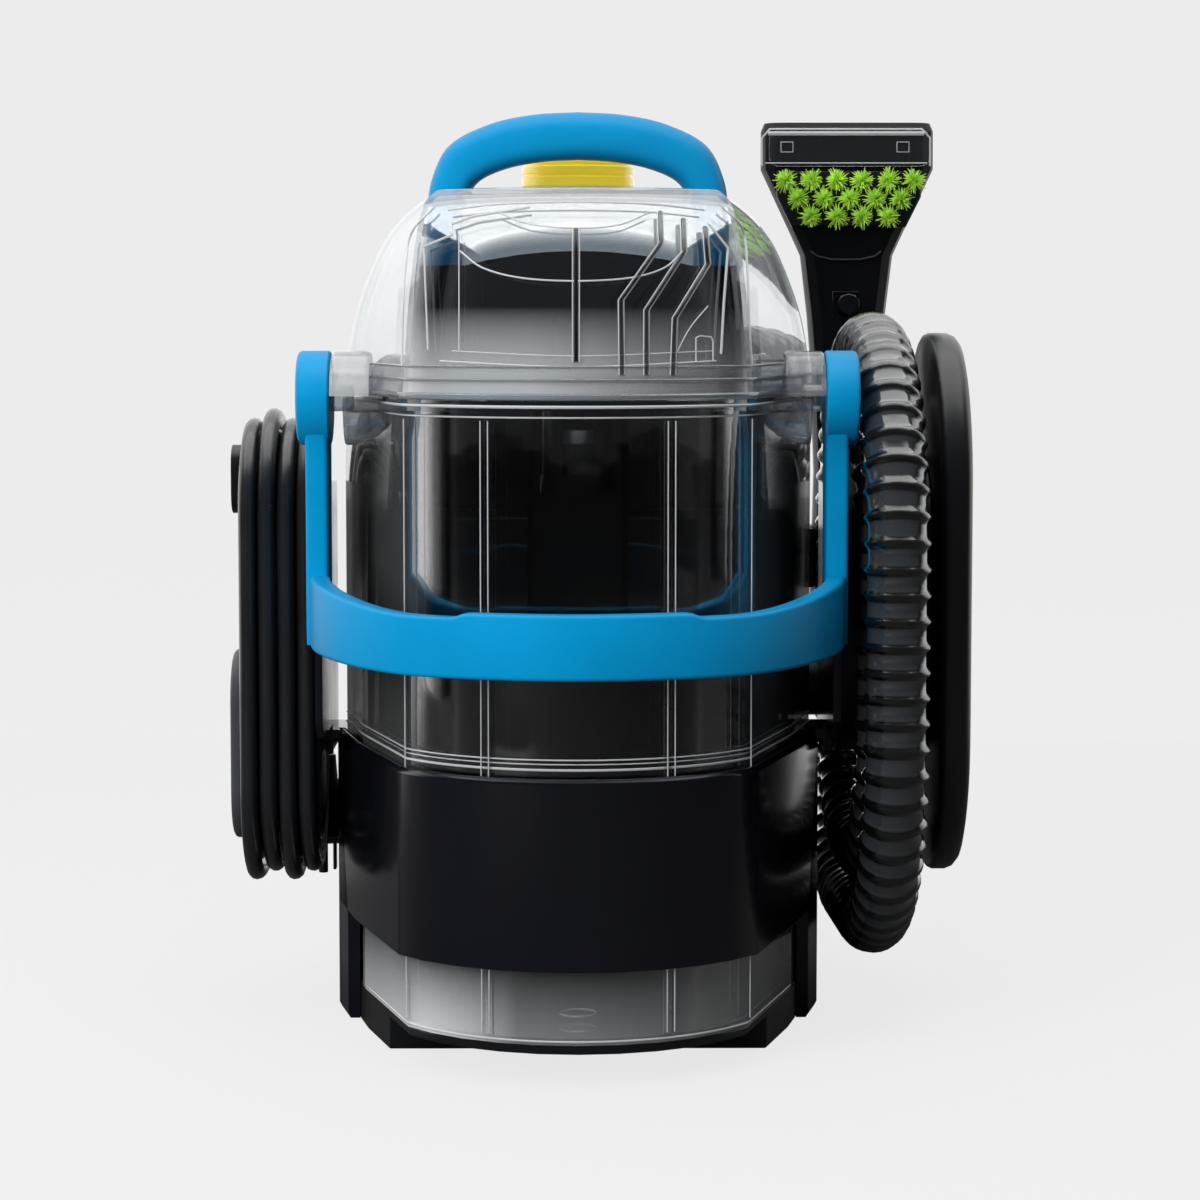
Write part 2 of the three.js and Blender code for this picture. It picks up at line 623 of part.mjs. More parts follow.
// ---- Wand and tool ----
const WAND_X = hoseX(WAND_Y);
const wandOutline = (halfX, halfY, radius = 12) =>
  rounded([WAND_X - halfX, WAND_X + halfX], [WAND_Y - halfY, WAND_Y + halfY], radius, 3);
const WAND_BORE = 11;
const wandBore = (from, to) => rod('z', [WAND_X, WAND_Y], WAND_BORE, from, to);

function wandCuff() {
  const body = loft('z', [[WAND_LOW, circle(WAND_X, WAND_Y, CUFF_RADIUS - 1)],
    [WAND_LOW + 3, circle(WAND_X, WAND_Y, CUFF_RADIUS)],
    [WAND_LOW + CUFF_HEIGHT, circle(WAND_X, WAND_Y, CUFF_RADIUS - 0.5)]]);
  return cut(body, wandBore(0, FAR));
}

const TRIGGER_PIVOT = [WAND_Y + GRIP_HALF[1] + 5, TRIGGER_Z[1] - 3];

function wandGrip() {
  const low = WAND_LOW + CUFF_HEIGHT + FIT;
  const body = loft('z', [[low, wandOutline(15.5, 15.5)], [low + 14, wandOutline(...GRIP_HALF)],
    [250, wandOutline(15.5, 17)],
    [GRIP_TOP - 10, wandOutline(...GRIP_HALF)], [GRIP_TOP, wandOutline(...GRIP_HALF)]]);
  const ear = prism('x', rounded([WAND_Y + 12, TRIGGER_PIVOT[0] + 5],
    [TRIGGER_PIVOT[1] - 6, TRIGGER_PIVOT[1] + 6], 5, 3),
    WAND_X - TRIGGER_HALF - 4, WAND_X + TRIGGER_HALF + 4);
  const between = block(WAND_X - TRIGGER_HALF - FIT, WAND_X + TRIGGER_HALF + FIT, WAND_Y + GRIP_HALF[1], FAR,
    0, FAR);
  const pinHole = rod('x', TRIGGER_PIVOT, 2 + FIT, WAND_X - 30, WAND_X + 30, 12);
  return cut(join(body, cut(ear, between)), pinHole, wandBore(0, FAR));
}

// A lever on the back of the grip, on a cross pin.
function sprayTrigger() {
  const [y, z] = TRIGGER_PIVOT;
  const lever = prism('x', [[y - 3.4, z - 3], [y + 2, TRIGGER_Z[0] + 4], [y + 5, TRIGGER_Z[0]],
    [y + 9, TRIGGER_Z[0] + 4],
    [y + 5, z - 12], [y + 4, z + 3], [y - 1, z + 4]], WAND_X - TRIGGER_HALF, WAND_X + TRIGGER_HALF);
  return lever.add(rod('x', TRIGGER_PIVOT, 2, WAND_X - TRIGGER_HALF - 3.5, WAND_X + TRIGGER_HALF + 3.5, 12));
}

const BUTTON = { x: 11.5, z: [328, 341] };
const MOUTH_HALF = TOOL_WIDTH / 2 - 4;

function toolBody() {
  const low = GRIP_TOP + FIT;
  const body = loft('z', [[low, wandOutline(...GRIP_HALF)], [330, wandOutline(19.5, 17)],
    [359, wandOutline(23, 16)],
    [371, wandOutline(28.5, 16)], [402, wandOutline(TOOL_WIDTH / 2, 17)],
      [TOOL_TOP - 4, wandOutline(TOOL_WIDTH / 2, 16)],
    [TOOL_TOP, wandOutline(TOOL_WIDTH / 2 - 1.5, 12, 10)]]);
  const throat = (halfX, halfY) => rounded([WAND_X - halfX, WAND_X + halfX],
    [WAND_Y + 1 - halfY, WAND_Y + 1 + halfY], 4.5, 2);
  const inside = loft('z', [[low - 1, throat(11, 11)], [345, throat(12, 9)], [400, throat(MOUTH_HALF - 4, 5)],
    [TOOL_TOP + 1, throat(MOUTH_HALF, 5)]]);
  const seat = block(WAND_X - BRUSH_HALF - FIT, WAND_X + BRUSH_HALF + FIT, 0, WAND_Y - 13, BRUSH_Z[0] - FIT,
    BRUSH_Z[1] + FIT);
  const buttonHole = rod('y', [WAND_X, (BUTTON.z[0] + BUTTON.z[1]) / 2], 6 + FIT, 0, WAND_Y - 8);
  return cut(body, inside, seat, buttonHole);
}

function releaseButton() {
  const z = (BUTTON.z[0] + BUTTON.z[1]) / 2;
  return loft('y', [[WAND_Y - 19.5, circle(WAND_X, z, 4.8, SMALL_ROUND)],
    [WAND_Y - 18.5, circle(WAND_X, z, 6, SMALL_ROUND)],
    [WAND_Y - 12.5, circle(WAND_X, z, 6, SMALL_ROUND)]]);
}

// Fifteen tufts in three rows, each of twenty tapering strands fused to the plate.
function brushPlate() {
  const face = WAND_Y - 17.5;
  const plate = prism('y', rounded([WAND_X - BRUSH_HALF, WAND_X + BRUSH_HALF], BRUSH_Z, 3, 2), face,
    WAND_Y - 13 - FIT);
  const rows = [[396, 6], [387, 5], [378, 4]];
  const strands = rows.flatMap(([z, count]) => Array.from({ length: count }, (_, i) => {
    const x = WAND_X + (i - (count - 1) / 2) * 12.8;
    return tuft(x, face, z);
  }).flat());
  return strands.reduce((all, strand) => all.add(strand), plate);
}

function tuft(x, face, z) {
  return Array.from({ length: 20 }, (_, i) => {
    const angle = i * 2.39996;
    const radius = 0.55 + 0.72 * Math.sqrt(i);
    const [dx, dz] = [radius * Math.cos(angle), radius * Math.sin(angle)];
    const foot = circle(x + dx, z + dz, 0.34, 3).map(([u, v]) => new THREE.Vector3(u, face + 0.4, v));
    const tip = new THREE.Vector3(x + 1.25 * dx, face - TUFT_LENGTH, z + 1.25 * dz);
    return cone(foot, tip);
  });
}

// A three-sided point from a foot triangle to its tip.
function cone(foot, tip) {
  const geometry = new THREE.BufferGeometry();
  geometry.setAttribute('position', new THREE.Float32BufferAttribute([...foot,
    tip].flatMap((p) => p.toArray()), 3));
  geometry.setIndex([0, 1, 3, 1, 2, 3, 2, 0, 3, 2, 1, 0]);
  return solid(geometry);
}

function toolWindow() {
  const front = WAND_Y - 17 - FIT - 1.6;
  return prism('y', rounded([WAND_X - TOOL_WIDTH / 2 + 3, WAND_X + TOOL_WIDTH / 2 - 3],
    [BRUSH_Z[1] + 2, TOOL_TOP - 4], 4, 2),
    front, front + 1.6);
}

// A clip on the housing that holds the wand upright.
function toolCradle() {
  const [low, high] = [192, 222];
  const body = prism('z', [[REAR_HALF - 1, WAND_Y - 12], [WAND_X - 8, WAND_Y - 12], [WAND_X - 8, WAND_Y + 6],
    [WAND_X + 8, WAND_Y + 21.5], [WAND_X + 8, WAND_Y + 24.5], [WAND_X - 16, WAND_Y + 24.5],
      [REAR_HALF - 1, WAND_Y + 12]], low, high);
  const wall = loft('z', [[PAN_TOP + FIT, housingOutline(REAR_HALF - 1, -FIT)],
    [HOUSING_TOP - 5, housingOutline(HOUSING_TOP_HALF, -FIT)]]);
  return cut(body, wall, prism('z', wandOutline(GRIP_HALF[0] + FIT, GRIP_HALF[1] + FIT), 0, FAR));
}

// ---- Dirty tank ----
const tankPlan = (inset) => drawnIn(CHASSIS_PLAN, TANK_INSET + inset);

function tankBody(inset, low, tier, top) {
  const back = TANK_BACK - inset;
  const lower = prism('z', tankPlan(inset), low, top).intersect(block(inset - TIER_HALF, TIER_HALF - inset,
    -FAR, back, 0, FAR));
  const upper = prism('z', tankPlan(inset), tier, top).intersect(block(-FAR, FAR, -FAR, back, 0, FAR));
  return join(lower, upper);
}

const halfBoss = (reach, from, to) => [-1, 1].map((side) => {
  const [a, b] = [side * 84, side * reach].sort((p, q) => p - q);
  return rod('x', [BAIL_Y, BAIL_Z], BOSS_RADIUS, a, b, ROUND).intersect(block(-FAR, FAR, -FAR, FAR, from, to));
});

function tankRibs() {
  const low = PAN_TOP + 4;
  const sag = CORNER[1] - NOSE_Y;
  const radius = (CORNER[0] ** 2 + sag ** 2) / (2 * sag);
  return [-1, 1].flatMap((side) => {
    const angle = Math.asin(RIB_X / radius);
    const out = [Math.sin(angle), -Math.cos(angle)];
    const foot = [radius * Math.sin(angle), NOSE_Y + radius * (1 - Math.cos(angle))];
    const across = [-out[1], out[0]];
    const place = (depth, width) => [side * (foot[0] - out[0] * depth + across[0] * width),
      foot[1] - out[1] * depth + across[1] * width];
    const outline = [place(BAND_WALL + 0.5, -RIB_WIDTH / 2), place(BAND_WALL + 0.5, RIB_WIDTH / 2),
      place(TANK_INSET + 2, RIB_WIDTH / 2), place(TANK_INSET + 2, -RIB_WIDTH / 2)];
    return [prism('z', side > 0 ? outline : outline.reverse(), low, TANK_RIM - 8)];
  });
}

function dirtyTank() {
  const rim = prism('z', tankPlan(-RIM_LIP), TANK_RIM - 5, TANK_RIM).intersect(block(-FAR, FAR, -FAR,
    TANK_BACK, 0, FAR));
  const outer = join(tankBody(0, PAN_TOP + FIT, TIER_Z, TANK_RIM), rim, ...tankRibs(),
    ...halfBoss(TANK_BOSS_X, 0, TANK_RIM));
  const inner = tankBody(TANK_WALL, PAN_TOP + FIT + TANK_WALL, TIER_Z + TANK_WALL, FAR);
  const dimple = loft('z', [[PAN_TOP, circle(0, -118, DIMPLE_RADIUS)],
    [PAN_TOP + FIT + 1.4, circle(0, -118, DIMPLE_RADIUS - 1)]]);
  const pins = rod('x', [BAIL_Y, BAIL_Z], PIN_RADIUS + 0.6, -FAR, FAR);
  return cut(outer, inner, dimple, pins);
}

function separatorStack() {
  const back = TANK_BACK - TANK_WALL - FIT;
  const outline = rounded([-STACK_HALF, STACK_HALF], [back - STACK_DEPTH, back], 6, 3);
  const low = PAN_TOP + FIT + TANK_WALL + FIT;
  const tube = loft('z', [[low, outline], [STACK_TOP, outline]]);
  const bore = prism('z', drawnIn(outline, 2), low + 2, FAR);
  const ports = block(-12, 12, 0, back - STACK_DEPTH + 6, 40, 62);
  return cut(tube, bore, ports);
}

// ---- Lid ----
const LID_LEVELS = [
  [TANK_RIM + 0.5, -157, 76, -120.5, 110], [302, -155, 75, -119.5, 108.5], [330, -148, 74, -116, 103],
  [360, -138, 71, -108, 92], [373, -128, 69, -100, 83], [381, -118, 66, -92, 72], [384, -110, 62, -86, 66],
];

function lidBody(inset, drop) {
  return loft('z', LID_LEVELS.map(([z, nose, cornerX, cornerY, side], i) => {
    const flank = [cornerX + FLANK_SHARE * (side - cornerX), FLANK[1]];
    const outline = plan(nose, [cornerX, cornerY], [flank, [side, 0], [side, LID_BACK - 8],
      [side - 7, LID_BACK]]);
    return [i === 0 ? z - (inset ? 1 : 0) : z - drop, drawnIn(outline, inset)];
  }));
}

const lidPort = () => block(MOTOR[0] - DUCT_HALF + 3, MOTOR[0] + DUCT_HALF - 3, 20, FAR, ...PORT_HEIGHT);

function lidDome() {
  const outer = join(lidBody(0, 0), ...halfBoss(BOSS_X, TANK_RIM + 0.5, FAR));
  const hollow = lidBody(LID_WALL, LID_WALL);
  const spout = cut(block(MOTOR[0] - DUCT_HALF, MOTOR[0] + DUCT_HALF, LID_BACK - 3, TOWER_FRONT - SLACK,
    PORT_HEIGHT[0] - 3, PORT_HEIGHT[1] + 3), lidBody(0, 0));
  const pins = [-1, 1].map((side) => {
    const [a, b] = [side * 96, side * PIN_X].sort((p, q) => p - q);
    return rod('x', [BAIL_Y, BAIL_Z], PIN_RADIUS, a, b);
  });
  return cut(join(cut(outer, hollow), spout, ...pins), lidPort());
}

function tankSeal() {
  const slab = (inset, low, high) => prism('z', tankPlan(inset), low, high)
    .intersect(block(-FAR, FAR, -FAR, TANK_BACK - inset, 0, FAR));
  const outer = slab(TANK_WALL + FIT, TANK_RIM - SEAL_HEIGHT, TANK_RIM + 0.2);
  return cut(outer, slab(TANK_WALL + FIT + SEAL_WIDTH, 0, FAR));
}

function lidDeck() {
  const plate = lidBody(LID_WALL + FIT, LID_WALL).intersect(block(-FAR, FAR, -60, FAR, DECK_Z,
    DECK_Z + DECK_THICK));
  return cut(plate, rod('z', [0, FLOAT_Y], 11, 0, FAR), block(MOTOR[0] - 15, MOTOR[0] + 15, 14, 30, 0, FAR));
}

function floatCage() {
  const centre = [0, FLOAT_Y];
  const outer = FLOAT_RADIUS + 4;
  const top = DECK_Z - FIT;
  const low = top - FLOAT_HEIGHT - FLOAT_RISE - 8;
  const tube = cut(rod('z', centre, outer, low, top, ROUND), rod('z', centre, FLOAT_RADIUS + SLACK, low + 3,
    FAR, ROUND));
  const windows = [0, 1].map((turn) => (turn
    ? block(-7, 7, FLOAT_Y - 40, FLOAT_Y + 40, low + 8, top - 6) : block(-40, 40, FLOAT_Y - 7, FLOAT_Y + 7,
      low + 8, top - 6)));
  return cut(tube, ...windows, rod('z', centre, 8, 0, FAR));
}

function floatBall() {
  const low = DECK_Z - FIT - FLOAT_HEIGHT - FLOAT_RISE - 8 + 3 + FIT;
  return loft('z', [[low, circle(0, FLOAT_Y, FLOAT_RADIUS - 3)], [low + 3, circle(0, FLOAT_Y, FLOAT_RADIUS)],
    [low + FLOAT_HEIGHT - 6, circle(0, FLOAT_Y, FLOAT_RADIUS)],
      [low + FLOAT_HEIGHT, circle(0, FLOAT_Y, FLOAT_RADIUS - 7)]]);
}

// ---- Bail handle ----
function bailHandle() {
  const knots = [[116, BAIL_Y], [111, -100], [96, -126], [72, -149], [42, -165], [0, -173.5]];
  const curve = new THREE.CatmullRomCurve3([...knots, ...knots.slice(0, -1).map(([x, y]) => [-x, y]).reverse()]
    .map(([x, y]) => new THREE.Vector3(x, y, 0)));
  const steps = 22;
  const path = curve.getPoints(steps);
  const half = BOW_WALL / 2;
  const bow = skin(sweepRings(path, (i) => {
    const share = Math.abs(i - steps / 2) / (steps / 2);
    const rise = THREE.MathUtils.smoothstep(share, 0.35, 1);
    const low = THREE.MathUtils.lerp(BOW_NOSE.low, BOW_END.low, rise);
    const high = THREE.MathUtils.lerp(BOW_NOSE.high, BOW_END.high, rise);
    return [[low, half - 2], [low, 2 - half], [low + 2, -half], [high - 5, -half], [high, 3 - half],
      [high, half - 1], [high - 1, half],
      [low + 2, half]];
  }, new THREE.Vector3(0, 0, 1)), [[0, 2], [0, -2], [1, -3], [7, -3], [9, -1], [9, 2], [8, 3], [1, 3]]);
  const arms = [-1, 1].map((side) => {
    const xs = [BOSS_X + SLACK, ARM_OUT].map((x) => side * x).sort((a, b) => a - b);
    const arm = prism('x', [[BAIL_Y - ARM_HALF, 188], [BAIL_Y - 6, BOW_END.low], [BAIL_Y + 6, BOW_END.low],
      [BAIL_Y + ARM_HALF - 2, 192], [BAIL_Y + ARM_HALF, BAIL_Z], [BAIL_Y - ARM_HALF, BAIL_Z]], ...xs);
    const [inner, outer] = [BOSS_X + FIT, HUB_OUT];
    const hub = loft('x', [[inner, circle(BAIL_Y, BAIL_Z, BOSS_RADIUS)],
      [outer - 3, circle(BAIL_Y, BAIL_Z, BOSS_RADIUS)],
      [outer, circle(BAIL_Y, BAIL_Z, BOSS_RADIUS - 4)]]);
    return join(arm, side > 0 ? hub : mirrored(hub));
  });
  const bores = [-1, 1].map((side) => {
    const [a, b] = [side * 100, side * (PIN_X + SLACK)].sort((p, q) => p - q);
    return rod('x', [BAIL_Y, BAIL_Z], PIN_RADIUS + 0.4, a, b);
  });
  return cut(join(bow, ...arms), ...bores);
}

// ---- Clean water tank ----
const cleanOutline = (half, inset) =>
  rounded([inset - half, half - inset], [CLEAN_FRONT + inset, CLEAN_BACK - inset], 14 - inset, 3);

function cleanTank() {
  const low = HOUSING_TOP + 0.6;
  const neck = [0, (CLEAN_FRONT + CLEAN_BACK) / 2];
  const levels = [[low, CLEAN_HALF], [345, CLEAN_HALF - 2], [368, 74], [382, 62], [388, 54]];
  const outer = loft('z', levels.map(([z, half]) => [z, cleanOutline(half, 0)]));
  const inner = loft('z', [[CLEAN_FLOOR + CLEAN_WALL, cleanOutline(CLEAN_HALF, CLEAN_WALL)],
    ...levels.slice(1).map(([z, half]) => [z - CLEAN_WALL, cleanOutline(half, CLEAN_WALL)])]);
  const recess = prism('z', cleanOutline(CLEAN_HALF, CLEAN_WALL + 1), 0, CLEAN_FLOOR);
  return cut(
    join(outer, rod('z', neck, NECK_RADIUS, 380, NECK_TOP, ROUND)),
    inner,
    recess,
    rod('z', neck, NECK_RADIUS - 3, 370, FAR, ROUND),
    rod('z', VALVE, SPOUT_RADIUS - 1, 0, CLEAN_FLOOR + 10),
  ).add(cut(rod('z', VALVE, SPOUT_RADIUS, SPOUT_LOW, CLEAN_FLOOR + CLEAN_WALL),
    rod('z', VALVE, SPOUT_RADIUS - 2.5, 0, FAR)));
}

function cleanCap() {
  const neck = [0, (CLEAN_FRONT + CLEAN_BACK) / 2];
  const outer = loft('z', [[CAP_LOW, circle(...neck, CAP_RADIUS, 24)],
    [CAP_TOP - 3, circle(...neck, CAP_RADIUS, 24)],
    [CAP_TOP, circle(...neck, CAP_RADIUS - 4, 24)]]);
  const notches = Array.from({ length: CAP_NOTCHES }, (_, i) => {
    const angle = (2 * Math.PI * i) / CAP_NOTCHES;
    return rod('z', [neck[0] + (CAP_RADIUS + 1) * Math.cos(angle),
      neck[1] + (CAP_RADIUS + 1) * Math.sin(angle)], 2.2, 0, CAP_TOP - 3, 6);
  });
  return cut(outer, rod('z', neck, NECK_RADIUS + SLACK, 0, NECK_TOP + FIT, ROUND), ...notches);
}

function valveReceiver() {
  const low = 212;
  const body = rod('z', VALVE, CUP_RADIUS + 4, low, HOUSING_TOP + FIT + 1, ROUND);
  const flange = rod('z', VALVE, CUP_RADIUS + 8, HOUSING_TOP + FIT, CLEAN_FLOOR - FIT, 20);
  const pusher = rod('z', VALVE, 2, low + 3, SPOUT_LOW + 3, 10);
  const cup = cut(join(body, flange), rod('z', VALVE, CUP_RADIUS, SPOUT_LOW - 4, FAR, 20));
  const drains = [-1, 1].map((side) => rod('z', [VALVE[0] + side * 4.5, VALVE[1]], 1.6, 0, FAR, 8));
  return cut(join(cup, pusher), ...drains);
}

function valvePoppet() {
  const low = SPOUT_LOW + 3 + FIT;
  const stem = rod('z', VALVE, 2.5, low, CLEAN_FLOOR + CLEAN_WALL + 6, 12);
  return stem.add(rod('z', VALVE, SPOUT_RADIUS - 1, CLEAN_FLOOR + CLEAN_WALL + FIT,
    CLEAN_FLOOR + CLEAN_WALL + 3, 16));
}

// ---- Motor, fan and pump ----
function motorCan() {
  const levels = [[MOTOR_LOW, 34], [MOTOR_LOW + 4, MOTOR_RADIUS], [MOTOR_TOP - 8, MOTOR_RADIUS],
    [MOTOR_TOP - 8 + 0.5, MOTOR_RADIUS + 3],
    [MOTOR_TOP, MOTOR_RADIUS + 3]];
  const can = loft('z', levels.map(([z, radius]) => [z, circle(...MOTOR, radius)]));
  return cut(can, rod('z', MOTOR, SHAFT_RADIUS + SLACK, MOTOR_TOP - 13, FAR));
}

const motorMount = () => cut(rod('z', MOTOR, 33, PAN_TOP + FIT, MOTOR_LOW - FIT, ROUND),
  rod('z', MOTOR, 26, PAN_TOP + 8, FAR, ROUND));

function fanScroll() {
  const shell = rod('z', MOTOR, SCROLL_RADIUS, MOTOR_TOP + FIT, SCROLL_TOP, ROUND);
  const inside = rod('z', MOTOR, SCROLL_RADIUS - SCROLL_WALL, MOTOR_TOP + FIT + SCROLL_WALL,
    SCROLL_TOP - SCROLL_WALL, ROUND);
  const outlet = block(MOTOR[0] - 20, MOTOR[0] + 20, MOTOR[1] + 30, FAR, MOTOR_TOP + 8, SCROLL_TOP - 8);
  return cut(shell, inside, outlet, rod('z', MOTOR, 14, SCROLL_TOP - 10, FAR),
    rod('z', MOTOR, SHAFT_RADIUS + 2, 0, SCROLL_TOP - 20));
}

function fanImpeller() {
  const low = MOTOR_TOP + 8;
  const plate = rod('z', MOTOR, FAN_RADIUS, low, low + 2, ROUND);
  const blades = Array.from({ length: FAN_BLADES }, (_, i) => {
    const arc = (radius, lead) => {
      const angle = (2 * Math.PI * i) / FAN_BLADES + lead;
      return [MOTOR[0] + radius * Math.cos(angle), MOTOR[1] + radius * Math.sin(angle)];
    };
    return prism('z', [arc(7, 0), arc(FAN_RADIUS * 0.6, 0.28), arc(FAN_RADIUS, 0.75), arc(FAN_RADIUS, 0.8),
      arc(FAN_RADIUS * 0.6, 0.36),
      arc(7, 0.25)], low + 1, low + 20);
  });
  return cut(join(plate, rod('z', MOTOR, 9, low, low + 16), ...blades), rod('z', MOTOR, SHAFT_RADIUS + FIT,
    0, FAR));
}

const motorShaft = () => rod('z', MOTOR, SHAFT_RADIUS, MOTOR_TOP - 13 + FIT, MOTOR_TOP + 22);

function pumpBody() {
  const { x, y, top } = PUMP;
  const body = prism('z', rounded(x, y, 6, 2), PAN_TOP + FIT, top);
  const head = rod('y', [(x[0] + x[1]) / 2 + 6, 48], 13, y[0] - 14, y[0] + 2);
  return join(body, head, rod('z', VALVE, 5, top - 1, top + 12, 12));
}

const waterTube = () => cut(rod('z', VALVE, 5, PUMP.top + 12 + FIT, 212 - FIT, 12),
  rod('z', VALVE, 3, 0, FAR, 12));

const controlBoard = () => block(20, 44, REAR_Y - HOUSING_WALL - FIT - 1.6, REAR_Y - HOUSING_WALL - FIT, 140,
  200);

function exhaustGrille() {
  const { x, z } = GRILLE;
  const plate = block(...x, REAR_Y - HOUSING_WALL, REAR_Y, ...z);
  const slots = Array.from({ length: 6 }, (_, i) => block(x[0] + 4, x[1] - 4, 0, FAR, z[0] + 3.5 + i * 6.2,
    z[0] + 7 + i * 6.2));
  return cut(plate, ...slots);
}

function switchBezel() {
  const { x, z } = SWITCH;
  const body = join(block(...x, REAR_Y - 8, REAR_Y + 1, ...z), block(x[0] - 2, x[1] + 2, REAR_Y + FIT,
    REAR_Y + 2, z[0] - 2, z[1] + 2));
  return cut(body, block(x[0] + 1.5, x[1] - 1.5, REAR_Y - 6.5, FAR, z[0] + 1.5, z[1] - 1.5));
}

const ROCKER_PLAY = 1.4; // each end swings outwards as it rocks

function powerSwitch() {
  const { x, z } = SWITCH;
  const middle = (x[0] + x[1]) / 2;
  const half = (x[1] - x[0]) / 2 - 1.5 - ROCKER_PLAY;
  const lean = 2.2;
  return prism('z', [[middle - half, REAR_Y - 0.5], [middle - 3, REAR_Y - 4.5], [middle + 3, REAR_Y - 4.5],
    [middle + half, REAR_Y - 0.5],
    [middle + half, REAR_Y + 2.6 + lean], [middle, REAR_Y + 2.6], [middle - half, REAR_Y + 2.6]], z[0] + 2,
      z[1] - 2);
}

// ---- Power cord ----
const hankLow = HANK_Z - HANK_RUN - HANK_OUTER;

// Four columns of turns: the radius runs in and out by one pitch a turn, and each climb lies on a run.
const CLIMBS = [2.25, 4.75, 7.25];
const HANK_TURNS = 9.75;

function hankPoint(turn) {
  let radius = HANK_OUTER;
  let left = turn;
  let direction = -1;
  [0, ...CLIMBS].forEach((start, i) => {
    const end = CLIMBS[i] ?? HANK_TURNS;
    const part = Math.min(left, end - start);
    radius += direction * CORD_PITCH * part;
    direction = -direction;
    left -= part;
  });
  const columns = CLIMBS.reduce((sum, at) => sum + THREE.MathUtils.smoothstep(turn, at - 0.25, at + 0.25), 0);
  const x = -HANK_X + columns * CORD_PITCH;
  // Around the stadium, from its lowest point towards the front, in shares that keep the turns in step.
  const phase = turn - Math.floor(turn);
  const [arcShare, runShare] = [5 / 22, 1 / 22];
  const upper = arcShare + runShare;
  if (phase < arcShare) {
    const angle = (QUARTER * phase) / arcShare;
    return new THREE.Vector3(x, -radius * Math.sin(angle), HANK_Z - HANK_RUN - radius * Math.cos(angle));
  }
  if (phase < upper) {
    return new THREE.Vector3(x, -radius, HANK_Z - HANK_RUN + (2 * HANK_RUN * (phase - arcShare)) / runShare);
  }
  if (phase < 1 - upper) {
    const angle = (QUARTER * (phase - upper)) / arcShare;
    return new THREE.Vector3(x, -radius * Math.cos(angle), HANK_Z + HANK_RUN + radius * Math.sin(angle));
  }
  if (phase < 1 - arcShare) {
    return new THREE.Vector3(x, radius, HANK_Z + HANK_RUN - (2 * HANK_RUN * (phase - 1 + upper)) / runShare);
  }
  const angle = (QUARTER * (phase - 1 + arcShare)) / arcShare;
  return new THREE.Vector3(x, radius * Math.cos(angle), HANK_Z - HANK_RUN - radius * Math.sin(angle));
}

const LOOP_STEPS = 22;

function hankPath() {
  const count = Math.round(HANK_TURNS * LOOP_STEPS);
  const turns = Array.from({ length: count + 1 }, (_, i) => hankPoint((HANK_TURNS * i) / count));
  const first = new THREE.Vector3(-HANK_X, 2 * CORD_RADIUS, hankLow);
  const last = turns[count].clone().add(new THREE.Vector3(0, 0, -2 * CORD_RADIUS));
  return [first, ...turns, last];
}

// The least distance between stretches of the hank that aren't neighbours along it.
function leastGap(path) {
  let least = Infinity;
  const near = 4;
  for (let i = 0; i < path.length - 1; i += 1) {
    for (let j = i + near; j < path.length - 1; j += 1) {
      for (let k = 0; k < 1; k += 0.25) {
        const p = path[i].clone().lerp(path[i + 1], k);
        const segment = path[j + 1].clone().sub(path[j]);
        const share = THREE.MathUtils.clamp(p.clone().sub(path[j]).dot(segment) / segment.lengthSq(), 0, 1);
        least = Math.min(least, p.distanceTo(path[j].clone().addScaledVector(segment, share)));
      }
    }
  }
  return least - 2 * CORD_RADIUS;
}

function cordTube(path) {
  const section = circle(0, 0, CORD_RADIUS, 6);
  return skin(sweepRings(path, () => section, new THREE.Vector3(1, 0, 0)), section);
}

function cordHank() {
  const path = hankPath();
  console.log(`hank: least gap to itself ${leastGap(path).toFixed(2)} mm`);
  return cordTube(path);
}

function cordLead() {
  const start = HANK_X - LEAD_BEND;
  const arc = Array.from({ length: 7 }, (_, i) => {
    const angle = (QUARTER * i) / 6;
    return new THREE.Vector3(-start - LEAD_BEND * Math.sin(angle), LEAD_Y - LEAD_BEND * (1 - Math.cos(angle)),
      hankLow);
  });
  const path = [new THREE.Vector3(LEAD_START - start, LEAD_Y, hankLow), ...arc,
    new THREE.Vector3(-HANK_X, 2 * CORD_RADIUS + 20, hankLow),
      new THREE.Vector3(-HANK_X, 2 * CORD_RADIUS + FIT, hankLow)];
  const section = circle(0, 0, CORD_RADIUS, 8);
  return skin(sweepRings(path, () => section, new THREE.Vector3(0, 0, 1)), section);
}

const tailEnd = hankPoint(HANK_TURNS - 1e-6);
const PLUG_Y = 68;

function cordTail() {
  const top = tailEnd.z - 2 * CORD_RADIUS - FIT;
  const path = Array.from({ length: 9 }, (_, i) => {
    const share = i / 8;
    return new THREE.Vector3(tailEnd.x, THREE.MathUtils.lerp(tailEnd.y, PLUG_Y,
      THREE.MathUtils.smootherstep(share, 0, 1)), top - 52 * share);
  });
  const section = circle(0, 0, CORD_RADIUS, 8);
  return skin(sweepRings(path, () => section, new THREE.Vector3(1, 0, 0)), section);
}

const plugTop = tailEnd.z - 2 * CORD_RADIUS - 2 * FIT - 52;

